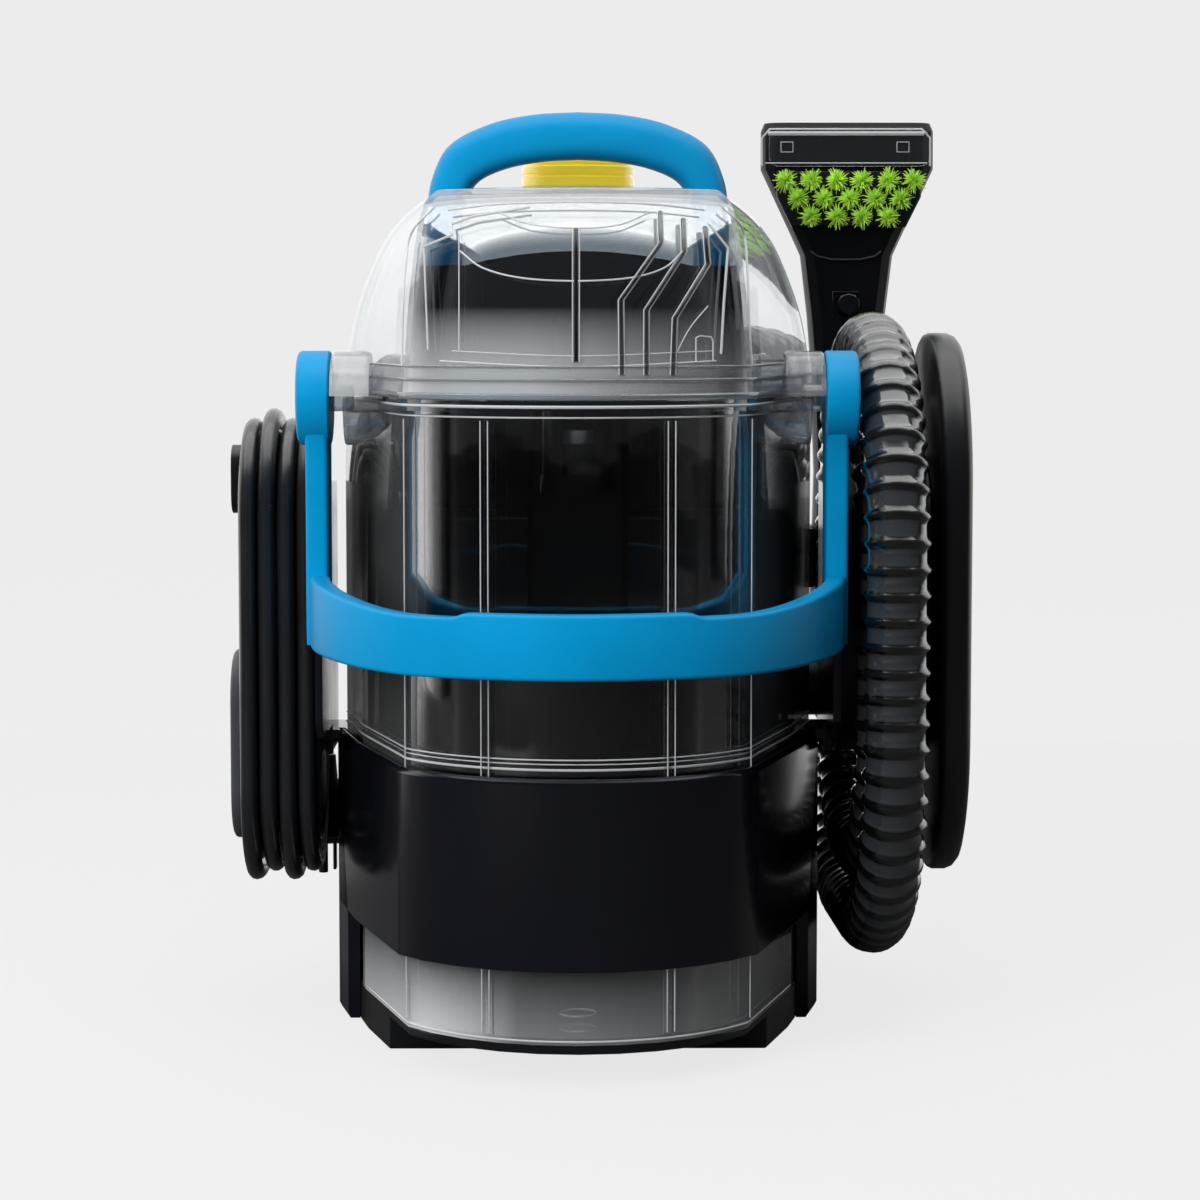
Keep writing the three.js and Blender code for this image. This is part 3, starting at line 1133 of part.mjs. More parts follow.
function plug() {
  const centre = [tailEnd.x - 2, PLUG_Y];
  const low = plugTop - 40;
  const body = loft('z', [[low, circle(...centre, 11, 16)], [low + 22, circle(...centre, 11, 16)],
    [low + 28, circle(...centre, 8, 16)],
    [plugTop, circle(tailEnd.x, PLUG_Y, 5, 16)]]);
  const blade = (dx) => block(centre[0] + dx - 0.8, centre[0] + dx + 0.8, PLUG_Y - 3.2, PLUG_Y + 3.2,
    low - 17, low + 1);
  return join(body, blade(-6.35), blade(6.35), rod('z', [centre[0], PLUG_Y + 7], 2.4, low - 20, low + 1, 10));
}

function cordGland() {
  const out = HANK_X - LEAD_BEND - LEAD_START - FIT;
  const body = loft('x', [[-out, circle(LEAD_Y, hankLow, 6.2, SMALL_ROUND)],
    [-REAR_HALF - 3, circle(LEAD_Y, hankLow, 8.5, SMALL_ROUND)],
    [-REAR_HALF - FIT + 0.6, circle(LEAD_Y, hankLow, 8.5, SMALL_ROUND)]]);
  const wall = loft('z', [[PAN_TOP + FIT, housingOutline(REAR_HALF - 1, -FIT)],
    [HOUSING_TOP - 5, housingOutline(HOUSING_TOP_HALF, -FIT)]]);
  return cut(body, wall).add(rod('x', [LEAD_Y, hankLow], 6, -REAR_HALF - 2, -REAR_HALF + 8));
}

// The fixed lower hook with its paddle.
function lowerHook() {
  const wall = WALL_INNER + WALL_THICK + FIT;
  const post = prism('x', rounded([-15, 15], [PADDLE.z[0] + 11, PADDLE.z[1] - 12], 14, 5), -HOOK_OUT - 1,
    -wall);
  const paddle = rounded(PADDLE.y, PADDLE.z, 23, 6);
  return join(post, loft('x', [[-HOOK_OUT - HOOK_LIP, drawnIn(paddle, 1.5)],
    [-HOOK_OUT - HOOK_LIP + 1.5, paddle], [-HOOK_OUT, paddle]]));
}

// The upper hook turns on its arm to let the hank off.
function upperHook() {
  const wall = WALL_INNER + WALL_THICK + FIT;
  const arm = rod('x', [0, HOOK_Z], 9, -HOOK_OUT - 1, -wall, 20);
  const lip = prism('x', rounded([-10, 10], [HOOK_Z - 10, HOOK_Z + 22], 9.5, 5), -HOOK_OUT - HOOK_LIP,
    -HOOK_OUT);
  return arm.add(lip);
}

// ---- The assembly ----
const machine = new THREE.Group();

function add(name, body, material) {
  const mesh = new THREE.Mesh(body.isBufferGeometry ? body : geometryOf(body), material);
  mesh.name = name;
  machine.add(mesh);
}

add('base_pan', basePan(), BLACK);
padPlaces.forEach((place) => add(`foot_pad_${place.name}`, footPad(place), RUBBER));
add('front_band', frontBand(), BAND_BLACK);
const rightFrame = sideFrame();
add('side_frame_right', rightFrame, BLACK);
add('side_frame_left', mirroredGeometry(rightFrame), BLACK);
add('rear_housing', rearHousing(), BLACK);
add('tower_shell', towerShell(), BLACK);
add('tower_back', towerBack(), BLACK);
add('suction_duct', suctionDuct(), BLACK);
add('carry_handle', carryHandle(), BLUE);
add('rack_hub', rackHub(), BLACK);
add('rack_flange', rackFlange(), BAND_BLACK);
add('port_elbow', portElbow(), BLACK);
add('stretch_hose', stretchHose(), RUBBER);
add('wand_cuff', wandCuff(), BLACK);
add('wand_grip', wandGrip(), BLACK);
add('spray_trigger', sprayTrigger(), BLUE);
add('tool_cradle', toolCradle(), BLACK);
add('tool_body', toolBody(), BLACK);
add('tool_window', toolWindow(), CLEAR);
add('release_button', releaseButton(), BLACK);
add('brush_plate', brushPlate(), LIME);
add('dirty_tank', dirtyTank(), CLEAR);
add('separator_stack', separatorStack(), CLEAR);
add('lid_dome', lidDome(), CLEAR);
add('tank_seal', tankSeal(), RUBBER);
add('lid_deck', lidDeck(), CLEAR);
add('float_cage', floatCage(), BLACK);
add('float', floatBall(), WHITE);
add('bail_handle', bailHandle(), BLUE);
add('clean_tank', cleanTank(), CLEAR);
add('clean_cap', cleanCap(), YELLOW);
add('valve_receiver', valveReceiver(), BLACK);
add('valve_poppet', valvePoppet(), WHITE);
add('motor_mount', motorMount(), RUBBER);
add('motor_can', motorCan(), STEEL);
add('fan_scroll', fanScroll(), BLACK);
add('fan_impeller', fanImpeller(), STEEL);
add('motor_shaft', motorShaft(), STEEL);
add('pump_body', pumpBody(), GREY);
add('water_tube', waterTube(), WHITE);
add('control_board', controlBoard(), BOARD);
add('exhaust_grille', exhaustGrille(), BLACK);
add('switch_bezel', switchBezel(), BLACK);
add('power_switch', powerSwitch(), BLACK);
add('cord_gland', cordGland(), RUBBER);
add('cord_lead', cordLead(), RUBBER);
add('cord_hank', cordHank(), RUBBER);
add('cord_tail', cordTail(), RUBBER);
add('plug', plug(), RUBBER);
add('lower_hook', lowerHook(), GREY);
add('upper_hook', upperHook(), BLACK);

export default machine;
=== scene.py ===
"""A portable spot extractor for carpet and upholstery, dressed over its solid model."""
import math
import random

import bmesh
import bpy
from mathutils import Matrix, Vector
from mathutils.bvhtree import BVHTree


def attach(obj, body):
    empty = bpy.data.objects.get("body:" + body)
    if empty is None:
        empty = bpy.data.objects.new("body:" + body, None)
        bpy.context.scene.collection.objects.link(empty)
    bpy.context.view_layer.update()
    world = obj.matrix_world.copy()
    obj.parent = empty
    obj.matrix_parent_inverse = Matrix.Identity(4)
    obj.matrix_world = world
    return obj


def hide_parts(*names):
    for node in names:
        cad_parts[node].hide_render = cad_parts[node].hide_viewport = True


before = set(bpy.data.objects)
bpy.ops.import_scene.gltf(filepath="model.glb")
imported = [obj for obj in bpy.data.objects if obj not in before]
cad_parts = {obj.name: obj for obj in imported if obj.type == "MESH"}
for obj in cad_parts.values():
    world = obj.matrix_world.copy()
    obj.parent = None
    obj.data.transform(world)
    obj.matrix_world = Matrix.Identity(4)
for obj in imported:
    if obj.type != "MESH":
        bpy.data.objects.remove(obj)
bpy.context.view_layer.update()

MM = 0.001
PHOTO = 1200  # pixels a side

# ---- Camera ----
eye = Vector((0.0, -1.56, 0.3316))
aim = Vector((0.0103, 0.0, 0.196))
lens = bpy.data.cameras.new("camera")
lens.lens = 100
lens.sensor_width = 36
camera = bpy.data.objects.new("camera", lens)
camera.location = eye
turn = (aim - eye).to_track_quat("-Z", "Y")
camera.rotation_euler = turn.to_euler()
bpy.context.scene.collection.objects.link(camera)
bpy.context.scene.camera = camera


def sight(px, py):
    """The direction from the camera through a point of the photograph."""
    u, v = (px / PHOTO - 0.5) * lens.sensor_width, (0.5 - py / PHOTO) * lens.sensor_width
    return (turn @ Vector((u, v, -lens.lens))).normalized()


# ---- Materials ----
# Sizes of the patterns, in metres.
SINK_CLOUD = 0.035  # the slow unevenness of moulded stock
GLASS_FLOW = 0.03  # the flow lines in clear mouldings
WEB_CREASE = 0.012  # the creases of the hose's web


def colour(code):
    """A linear colour from sRGB hex."""
    parts = [int(code[i:i + 2], 16) / 255 for i in (0, 2, 4)]
    return [c / 12.92 if c <= 0.04045 else ((c + 0.055) / 1.055) ** 2.4 for c in parts] + [1.0]


def add(tree, kind, values=None, links=None, stops=None, **settings):
    """Adds a node with its settings, socket values and links."""
    made = tree.nodes.new(kind)
    for key, value in settings.items():
        setattr(made, key, value)
    for key, value in (values or {}).items():
        made.inputs[key].default_value = value
    for key, (other, output) in (links or {}).items():
        tree.links.new(other.outputs[output], made.inputs[key])
    for i, (at, shade) in enumerate(stops or []):
        stop = made.color_ramp.elements[i] if i < 2 else made.color_ramp.elements.new(at)
        stop.position, stop.color = at, shade
    return made


def blank(name):
    """A material with an empty node tree."""
    made = bpy.data.materials.new(name)
    made.use_nodes = True
    made.node_tree.nodes.clear()
    return made, made.node_tree


def moulded(name, code, roughness, grain, depth, spread=0.05, ior=1.5, coat=0.0, tone=0.12, metallic=0.0,
            stretch=(1, 1, 1)):
    """Moulded or formed stock: a faint cloud in the colour, gloss that wanders, and a surface grain in millimetres."""
    made, tree = blank(name)
    place = add(tree, "ShaderNodeTexCoord")
    placed = add(tree, "ShaderNodeMapping", {"Scale": stretch}, {"Vector": (place, "Object")})
    cloud = add(tree, "ShaderNodeTexNoise", {"Scale": 1 / SINK_CLOUD, "Detail": 3.0}, {"Vector": (place, "Object")})
    base = colour(code)
    low = [c * (1 - tone) for c in base[:3]] + [1]
    high = [min(1, c * (1 + tone)) for c in base[:3]] + [1]
    shade = add(tree, "ShaderNodeValToRGB", None, {"Fac": (cloud, "Fac")}, [(0.35, low), (0.65, high)])
    fine = add(tree, "ShaderNodeTexNoise", {"Scale": 1 / (grain * MM), "Detail": 2.0}, {"Vector": (placed, "Vector")})
    gloss = add(tree, "ShaderNodeMapRange",
                {"From Min": 0.3, "From Max": 0.7, "To Min": roughness - spread, "To Max": roughness + spread},
                {"Value": (cloud, "Fac")})
    relief = add(tree, "ShaderNodeBump", {"Strength": 0.5, "Distance": depth * MM}, {"Height": (fine, "Fac")})
    values = {"Metallic": metallic, "Coat Weight": coat, "Coat Roughness": 0.07}
    if not metallic:
        values["IOR"] = ior
    skin = add(tree, "ShaderNodeBsdfPrincipled", values,
               {"Base Color": (shade, "Color"), "Roughness": (gloss, "Result"), "Normal": (relief, "Normal")})
    add(tree, "ShaderNodeOutputMaterial", None, {"Surface": (skin, "BSDF")})
    return made


PC_IOR = 1.58  # polycarbonate
MIRROR_LIMIT = 0.5  # the most that a wall's edge mirrors, being thin and uneven
FLANK_FROM, FLANK_FULL = 0.086, 0.098  # how far from the middle the side walls deepen, in metres
SHOULDER_LOW, SHOULDER_HIGH = 0.262, 0.274  # and the heights where they clear again, under the bosses


def see_through(name, tint, body, haze, roughness, ior=PC_IOR, edge=0.5, foot=None, flank=None, glow=0.0):
    """A thin clear moulding: light passes straight, the rim darkens and the face mirrors by angle.

    foot: a painted brightness, pale haze mixed in towards the lower edge, full on the side where the light
    falls and thinning across, as (height where that starts, height where it is full, how much, place across
    where it starts to thin, place across where it is thin, the share left there). flank: the share of light
    that the side walls pass, where they deepen to smoke.
    glow: a painted glow, the wall giving off its own colour though it is no lamp.
    """
    made, tree = blank(name)
    place = add(tree, "ShaderNodeTexCoord")
    flow = add(tree, "ShaderNodeTexNoise", {"Scale": 1 / GLASS_FLOW, "Detail": 2.0}, {"Vector": (place, "Object")})
    ripple = add(tree, "ShaderNodeBump", {"Strength": 0.15, "Distance": 0.0006}, {"Height": (flow, "Fac")})
    clear = add(tree, "ShaderNodeBsdfTransparent", {"Color": colour(tint)})
    # glow is painted light: the wall emits its own colour though it is no lamp
    solid = add(tree, "ShaderNodeBsdfPrincipled",
                {"Base Color": colour(body), "Roughness": roughness, "IOR": ior,
                 "Emission Color": colour(body), "Emission Strength": glow},
                {"Normal": (ripple, "Normal")})
    rim = add(tree, "ShaderNodeLayerWeight", {"Blend": 0.3}, {"Normal": (ripple, "Normal")})
    veil = add(tree, "ShaderNodeMapRange", {"From Min": 0.2, "From Max": 1.0, "To Min": haze, "To Max": edge},
               {"Value": (rim, "Facing")})
    spot = add(tree, "ShaderNodeSeparateXYZ", None, {"Vector": (place, "Object")})
    if flank is not None:
        passing = colour(tint)[0]
        aside = add(tree, "ShaderNodeMath", None, {0: (spot, "X")}, operation="ABSOLUTE")
        smoke = add(tree, "ShaderNodeMapRange",
                    {"From Min": FLANK_FROM, "From Max": FLANK_FULL, "To Min": passing, "To Max": flank},
                    {"Value": (aside, "Value")})
        above = add(tree, "ShaderNodeMapRange",
                    {"From Min": SHOULDER_LOW, "From Max": SHOULDER_HIGH, "To Min": 0.0, "To Max": passing},
                    {"Value": (spot, "Z")})
        passed = add(tree, "ShaderNodeMath", None, {0: (smoke, "Result"), 1: (above, "Result")}, operation="MAXIMUM")
        tree.links.new(passed.outputs["Value"], clear.inputs["Color"])
    cloudy = (veil, "Result")
    # foot: painted brightness, a pale haze towards the lower edge, stronger on the lit side
    if foot is not None:
        starts, full, amount, thins, thin, share = foot
        base = add(tree, "ShaderNodeMapRange",
                   {"From Min": starts, "From Max": full, "To Min": 0.0, "To Max": amount}, {"Value": (spot, "Z")})
        across = add(tree, "ShaderNodeMapRange",
                     {"From Min": thins, "From Max": thin, "To Min": 1.0, "To Max": share}, {"Value": (spot, "X")})
        cloud = add(tree, "ShaderNodeMath", None, {0: (base, "Result"), 1: (across, "Result")}, operation="MULTIPLY")
        summed = add(tree, "ShaderNodeMath", None, {0: cloudy, 1: (cloud, "Value")}, operation="ADD",
                     use_clamp=True)
        cloudy = (summed, "Value")
    inner = add(tree, "ShaderNodeMixShader", None, {"Fac": cloudy, 1: (clear, "BSDF"), 2: (solid, "BSDF")})
    mirror = add(tree, "ShaderNodeBsdfAnisotropic", {"Color": colour("FFFFFF"), "Roughness": roughness},
                 {"Normal": (ripple, "Normal")})
    bounce = add(tree, "ShaderNodeFresnel", {"IOR": ior}, {"Normal": (ripple, "Normal")})
    capped = add(tree, "ShaderNodeMath", {1: MIRROR_LIMIT}, {0: (bounce, "Fac")}, operation="MINIMUM")
    whole = add(tree, "ShaderNodeMixShader", None,
                {"Fac": (capped, "Value"), 1: (inner, "Shader"), 2: (mirror, "BSDF")})
    add(tree, "ShaderNodeOutputMaterial", None, {"Surface": (whole, "Shader")})
    return made


# Satin black ABS: an even fine spark-eroded grain that softens highlights.
BLACK_ABS = moulded("black_abs_satin", "101114", 0.34, 0.5, 0.02)
# Polished black ABS: near mirror, with long clean reflections.
GLOSS_ABS = moulded("black_abs_polished", "0B0C14", 0.2, 3.0, 0.006, 0.03, coat=0.1, ior=1.42, tone=0.06)
# Black ABS behind clear walls: polished, and darker than the black outside as painted shade, since little light reaches
# in.
SHADED_ABS = moulded("black_abs_painted_shade", "060607", 0.2, 2.0, 0.006, 0.03, tone=0.05)
# The hand tool's black ABS: eroded a little deeper, so that its slopes stay dark.
TOOL_ABS = moulded("black_abs_eroded", "0D0E10", 0.45, 0.5, 0.02, ior=1.22)
# Satin blue ABS: saturated, with a soft broad highlight.
BLUE_ABS = moulded("blue_abs_satin", "0090C9", 0.46, 0.4, 0.02, ior=1.32, tone=0.04)
# Natural polypropylene dyed yellow: waxy and a little see-through, with a painted glow so it reads brighter than its
# light makes it.
YELLOW_PP = see_through("yellow_polypropylene", "FFF58A", "FFE236", 0.9, 0.35, ior=1.49, edge=0.95, glow=0.26)
# Lime nylon filament: waxy ends that scatter light.
LIME_NYLON = moulded("lime_nylon", "C6F45E", 0.5, 0.3, 0.01, tone=0.15, ior=1.53)
# Clear polycarbonate: bright, glassy, grey at the rims.
CLEAR_PC = see_through("clear_polycarbonate", "EEF1F3", "565B60", 0.06, 0.03)
# The tank's polycarbonate: clear and smoky through its side walls; towards its floor it whitens with painted
# brightness, strongest at the far left where the light falls.
TANK_PC = see_through("tank_polycarbonate", "EEF1F3", "F0F2F4", 0.0, 0.03, edge=0.16,
                      foot=(0.05, 0.016, 1.0, -0.078, -0.026, 0.17), flank=0.3)
# The lid's polycarbonate: clear and paler at its rolled edges; towards its skirt it whitens with painted brightness,
# full on the left and thinning to the right, away from the light.
LID_PC = see_through("lid_polycarbonate", "F2F4F5", "DCE0E3", 0.0, 0.03, edge=0.24,
                     foot=(0.333, 0.296, 0.45, -0.02, 0.075, 0.3))
# A moulded edge of polycarbonate that pipes light: almost white. The same pale line is also drawn as a painted
# highlight on the dome and along the tool head's top.
EDGE_PC = see_through("piped_polycarbonate_edge", "F4F6F7", "E9ECEE", 0.55, 0.1, edge=0.9)
# Thick clear polycarbonate where walls meet: whiter and more solid.
THICK_PC = see_through("thick_polycarbonate", "DDE2E5", "9AA0A5", 0.22, 0.06, edge=0.7)
# Black-filled polycarbonate groove: glossy and dense.
BLACK_GLAZE = see_through("black_polycarbonate", "101112", "08090A", 0.85, 0.05, edge=1.0)
# Smoke polycarbonate: the same stock with a grey dye.
SMOKE_PC = see_through("smoke_polycarbonate", "BFC4C8", "2E3135", 0.2, 0.04, edge=0.75)
# Moulded nitrile rubber: dull and slightly dusty.
RUBBER = moulded("nitrile_rubber", "1A1A1B", 0.75, 0.6, 0.04, tone=0.2)
# Soft PVC cord jacket: semi-matt with a drawn grain.
CORD_PVC = moulded("pvc_cord_jacket", "17181A", 0.3, 0.9, 0.015, coat=0.3, tone=0.15, ior=1.53)
# Grey glass-filled nylon: dry and even.
GREY_NYLON = moulded("grey_nylon", "3C3E41", 0.45, 0.5, 0.03)
# White acetal: slippery, even and slightly glossy.
WHITE_POM = moulded("white_acetal", "E4E4E0", 0.4, 0.5, 0.01, tone=0.04)
# Brushed stainless steel: stretched grain round the part.
STEEL = moulded("brushed_steel", "B9BDC1", 0.3, 0.25, 0.01, metallic=1.0, stretch=(1, 1, 12))
# Stamped aluminium: pale, with the blank's rolled sheen.
ALLOY = moulded("stamped_aluminium", "C4C7CA", 0.35, 0.4, 0.01, metallic=1.0)
# Solder-masked glass epoxy board: green, smooth, faintly woven.
BOARD = moulded("glass_epoxy_board", "1E5E36", 0.3, 1.2, 0.03, ior=1.55)


def ribbed_vinyl():
    """Extruded vinyl over a black helix: matt black ridges, glossy smoky webbing between them.

    The attribute ridge runs from 0 on the web to 1 on a ridge.
    """
    made, tree = blank("ribbed_vinyl")
    ridge = add(tree, "ShaderNodeAttribute", attribute_name="ridge")
    place = add(tree, "ShaderNodeTexCoord")
    cloud = add(tree, "ShaderNodeTexNoise", {"Scale": 1 / WEB_CREASE, "Detail": 3.0}, {"Vector": (place, "Object")})
    shade = add(tree, "ShaderNodeValToRGB", None, {"Fac": (ridge, "Fac")},
                [(0.1, colour("2E3134")), (0.35, colour("060607"))])
    gloss = add(tree, "ShaderNodeMapRange", {"To Min": 0.12, "To Max": 0.4}, {"Value": (ridge, "Fac")})
    crease = add(tree, "ShaderNodeBump", {"Strength": 0.35, "Distance": 0.0012}, {"Height": (cloud, "Fac")})
    skin = add(tree, "ShaderNodeBsdfPrincipled", {"IOR": 1.54, "Coat Weight": 1.0, "Coat Roughness": 0.05},
               {"Base Color": (shade, "Color"), "Roughness": (gloss, "Result"), "Normal": (crease, "Normal")})
    add(tree, "ShaderNodeOutputMaterial", None, {"Surface": (skin, "BSDF")})
    return made


HOSE_VINYL = ribbed_vinyl()


# ---- Making pieces, in millimetres ----
def piece(name, bm, material, body, replaces=(), smooth=35.0):
    """Scales a bmesh to metres and makes it a piece that rides on a body."""
    bmesh.ops.scale(bm, vec=(MM, MM, MM), verts=bm.verts)
    for face in bm.faces:
        face.smooth = True
    for edge in bm.edges:
        if len(edge.link_faces) == 2:
            edge.smooth = edge.calc_face_angle(0) < math.radians(smooth)
    mesh = bpy.data.meshes.new(name)
    bm.to_mesh(mesh)
    bm.free()
    return shown(bpy.data.objects.new(name, mesh), material, body, replaces)


def shown(made, material, body, replaces=()):
    """Gives an object its material and puts it in the scene on its body."""
    made.data.materials.append(material)
    bpy.context.scene.collection.objects.link(made)
    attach(made, body)
    if replaces:
        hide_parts(*replaces)
    return made


WELD = 0.004  # millimetres
FLAT = 0.5  # degrees


def softened(node, material, body, width=0.6, smooth=28.0, segments=2, windows=False):
    """A merged copy of a solid with small moulded radii on its edges.

    A wall with windows in it keeps its triangles, because one merged face can't hold holes.
    """
    bm = bmesh.new()
    bm.from_mesh(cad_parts[node].data)
    bmesh.ops.scale(bm, vec=(1 / MM,) * 3, verts=bm.verts)
    bmesh.ops.remove_doubles(bm, verts=bm.verts, dist=WELD)
    if not windows:
        bmesh.ops.dissolve_limit(bm, angle_limit=math.radians(FLAT), verts=bm.verts, edges=bm.edges)
    made = piece(f"{node}_moulding", bm, material, body, (node,), smooth)
    if width:
        round_edges = made.modifiers.new("radii", "BEVEL")
        round_edges.width = width * MM
        round_edges.segments = segments
        round_edges.limit_method = "ANGLE"
        round_edges.angle_limit = math.radians(smooth)
        round_edges.use_clamp_overlap = True
        evened = made.modifiers.new("evened", "WEIGHTED_NORMAL")
        evened.keep_sharp = False
    return made


def ring(bm, points):
    """A closed loop of edges."""
    verts = [bm.verts.new(point) for point in points]
    return [bm.edges.new((a, b)) for a, b in zip(verts, verts[1:] + verts[:1])]


def lofted(rings, caps=(True, True)):
    """A skin drawn from ring to ring; each ring is a list of points in order."""
    bm = bmesh.new()
    edges = ring(bm, rings[0])
    first = edges
    for points in rings[1:]:
        known = {edge.verts[0] for edge in edges} | {edge.verts[1] for edge in edges}
        bm.verts.index_update()
        order = [edge.verts for edge in edges]
        drawn = bmesh.ops.extrude_edge_only(bm, edges=edges)["geom"]
        fresh = [v for v in drawn if isinstance(v, bmesh.types.BMVert)]
        partner = {}
        for vert in fresh:
            for edge in vert.link_edges:
                other = edge.other_vert(vert)
                if other in known:
                    partner[other] = vert
        loop = ordered(order)
        for vert, point in zip(loop, points):
            partner[vert].co = point
        edges = [bm.edges.get((partner[a], partner[b])) for a, b in zip(loop, loop[1:] + loop[:1])]
    for flag, rim in ((caps[0], first), (caps[1], edges)):
        if flag:
            bmesh.ops.contextual_create(bm, geom=rim)
    bmesh.ops.recalc_face_normals(bm, faces=bm.faces)
    return bm


def ordered(pairs):
    """The vertices of a loop of edges, in the order in which it was drawn."""
    loop = [pairs[0][0] if pairs[0][0] in pairs[-1] else pairs[0][1]]
    for pair in pairs[:-1]:
        loop.append(pair[1] if pair[0] == loop[-1] else pair[0])
    return loop


def arc(count, start=0.0, end=2 * math.pi, closed=False):
    """Evenly spaced angles; a closed run leaves out its last, which is its first."""
    last = count if closed else count - 1
    return [start + (end - start) * i / last for i in range(count)]


def circle(radius, count):
    """Points round a circle."""
    return [(radius * math.cos(a), radius * math.sin(a)) for a in arc(count, closed=True)]


def pillow(power, count):
    """A unit outline between a circle (2) and a square (high power)."""
    return [tuple(math.copysign(abs(part) ** (2 / power), part) for part in (math.cos(a), math.sin(a)))
            for a in arc(count, closed=True)]


def rounded(u, v, radius, steps=8):
    """A rectangle with rounded corners."""
    corners = ((u[1] - radius, v[0] + radius, -1), (u[1] - radius, v[1] - radius, 0),
               (u[0] + radius, v[1] - radius, 1), (u[0] + radius, v[0] + radius, 2))
    points = []
    for cu, cv, quarter in corners:
        for a in arc(steps + 1, quarter * math.pi / 2, (quarter + 1) * math.pi / 2):
            point = (cu + radius * math.cos(a), cv + radius * math.sin(a))
            if not points or math.dist(points[-1], point) > 0.01:
                points.append(point)
    return points if math.dist(points[0], points[-1]) > 0.01 else points[:-1]


def drawn_in(outline, distance):
    """Moves each edge of a counterclockwise outline inwards."""
    moved = []
    for before, point, after in zip(outline[-1:] + outline[:-1], outline, outline[1:] + outline[:1]):
        sides = []
        for (u0, v0), (u1, v1) in ((before, point), (point, after)):
            size = math.hypot(u1 - u0, v1 - v0)
            sides.append((-(v1 - v0) / size, (u1 - u0) / size))
        (au, av), (bu, bv) = sides
        reach = distance / (1 + au * bu + av * bv)
        moved.append((point[0] + reach * (au + bu), point[1] + reach * (av + bv)))
    return moved


def eased(knots, per):
    """A Catmull-Rom line through the knots, ends kept."""
    knots = [Vector(knot) for knot in knots]
    ends = [knots[0] * 2 - knots[1], *knots, knots[-1] * 2 - knots[-2]]
    points = []
    for a, b, c, d in zip(ends, ends[1:], ends[2:], ends[3:]):
        for i in range(per):
            t = i / per
            points.append(0.5 * (2 * b + (c - a) * t + (2 * a - 5 * b + 4 * c - d) * t * t
                                 + (3 * b - a - 3 * c + d) * t ** 3))
    return points + [knots[-1]]


def smoothstep(value, low, high):
    """0 below low, 1 above high, and a soft rise between."""
    t = min(1.0, max(0.0, (value - low) / (high - low)))
    return t * t * (3 - 2 * t)


def line(name, points, radius, material, body, closed=False, turns=3):
    """A round moulded line or wire through points in metres."""
    data = bpy.data.curves.new(name, "CURVE")
    data.dimensions = "3D"
    data.bevel_depth = radius * MM
    data.bevel_resolution = turns
    data.use_fill_caps = not closed
    spline = data.splines.new("POLY")
    spline.points.add(len(points) - 1)
    for knot, point in zip(spline.points, points):
        knot.co = (*point, 1)
    spline.use_cyclic_u = closed
    spline.use_smooth = True
    return shown(bpy.data.objects.new(name, data), material, body)


# ---- Mains cord: lead, hank and tail on one line ----
CORD_RADIUS = 4.1
PITCH = 8.9  # from turn to turn and from column to column
HANK_X, HANK_Z, HANK_RUN, HANK_OUTER = 150.9, 175, 62, 45
CLIMBS = (2.25, 4.75, 7.25)  # the turns at which the cord steps to the next column
HANK_TURNS = 9.75
BEND_SHARE, RUN_SHARE = 5 / 22, 1 / 22  # of a turn, for a quarter bend and for half of a straight
BEND_STEPS, OVER_STEPS = 8, 16
LEAD_BEND, LEAD_Y, LEAD_EDGE = 34, 104, 30
CORD_LOW = HANK_Z - HANK_RUN - HANK_OUTER
PLUG_Y, TAIL_STEPS, TAIL_DROP = 68, 12, 52.3


def hank_point(turns):
    """The cord's middle after some turns of the hank, which winds in and out column by column."""
    radius, left, direction = HANK_OUTER, turns, -1
    for start, end in zip((0, *CLIMBS), (*CLIMBS, HANK_TURNS)):
        part = min(left, end - start)
        radius += direction * PITCH * part
        direction, left = -direction, left - part
    x = -HANK_X + PITCH * sum(smoothstep(turns, at - 0.25, at + 0.25) for at in CLIMBS)
    phase = turns - math.floor(turns)
    bend, run = BEND_SHARE, RUN_SHARE
    quarter = math.pi / 2
    if phase < bend:
        a = quarter * phase / bend
        return Vector((x, -radius * math.sin(a), HANK_Z - HANK_RUN - radius * math.cos(a)))
    if phase < bend + run:
        return Vector((x, -radius, HANK_Z - HANK_RUN + 2 * HANK_RUN * (phase - bend) / run))
    if phase < 1 - bend - run:
        a = quarter * (phase - bend - run) / bend
        return Vector((x, -radius * math.cos(a), HANK_Z + HANK_RUN + radius * math.sin(a)))
    if phase < 1 - bend:
        return Vector((x, radius, HANK_Z + HANK_RUN - 2 * HANK_RUN * (phase - 1 + bend + run) / run))
    a = quarter * (phase - 1 + bend) / bend
    return Vector((x, radius * math.cos(a), HANK_Z - HANK_RUN - radius * math.sin(a)))


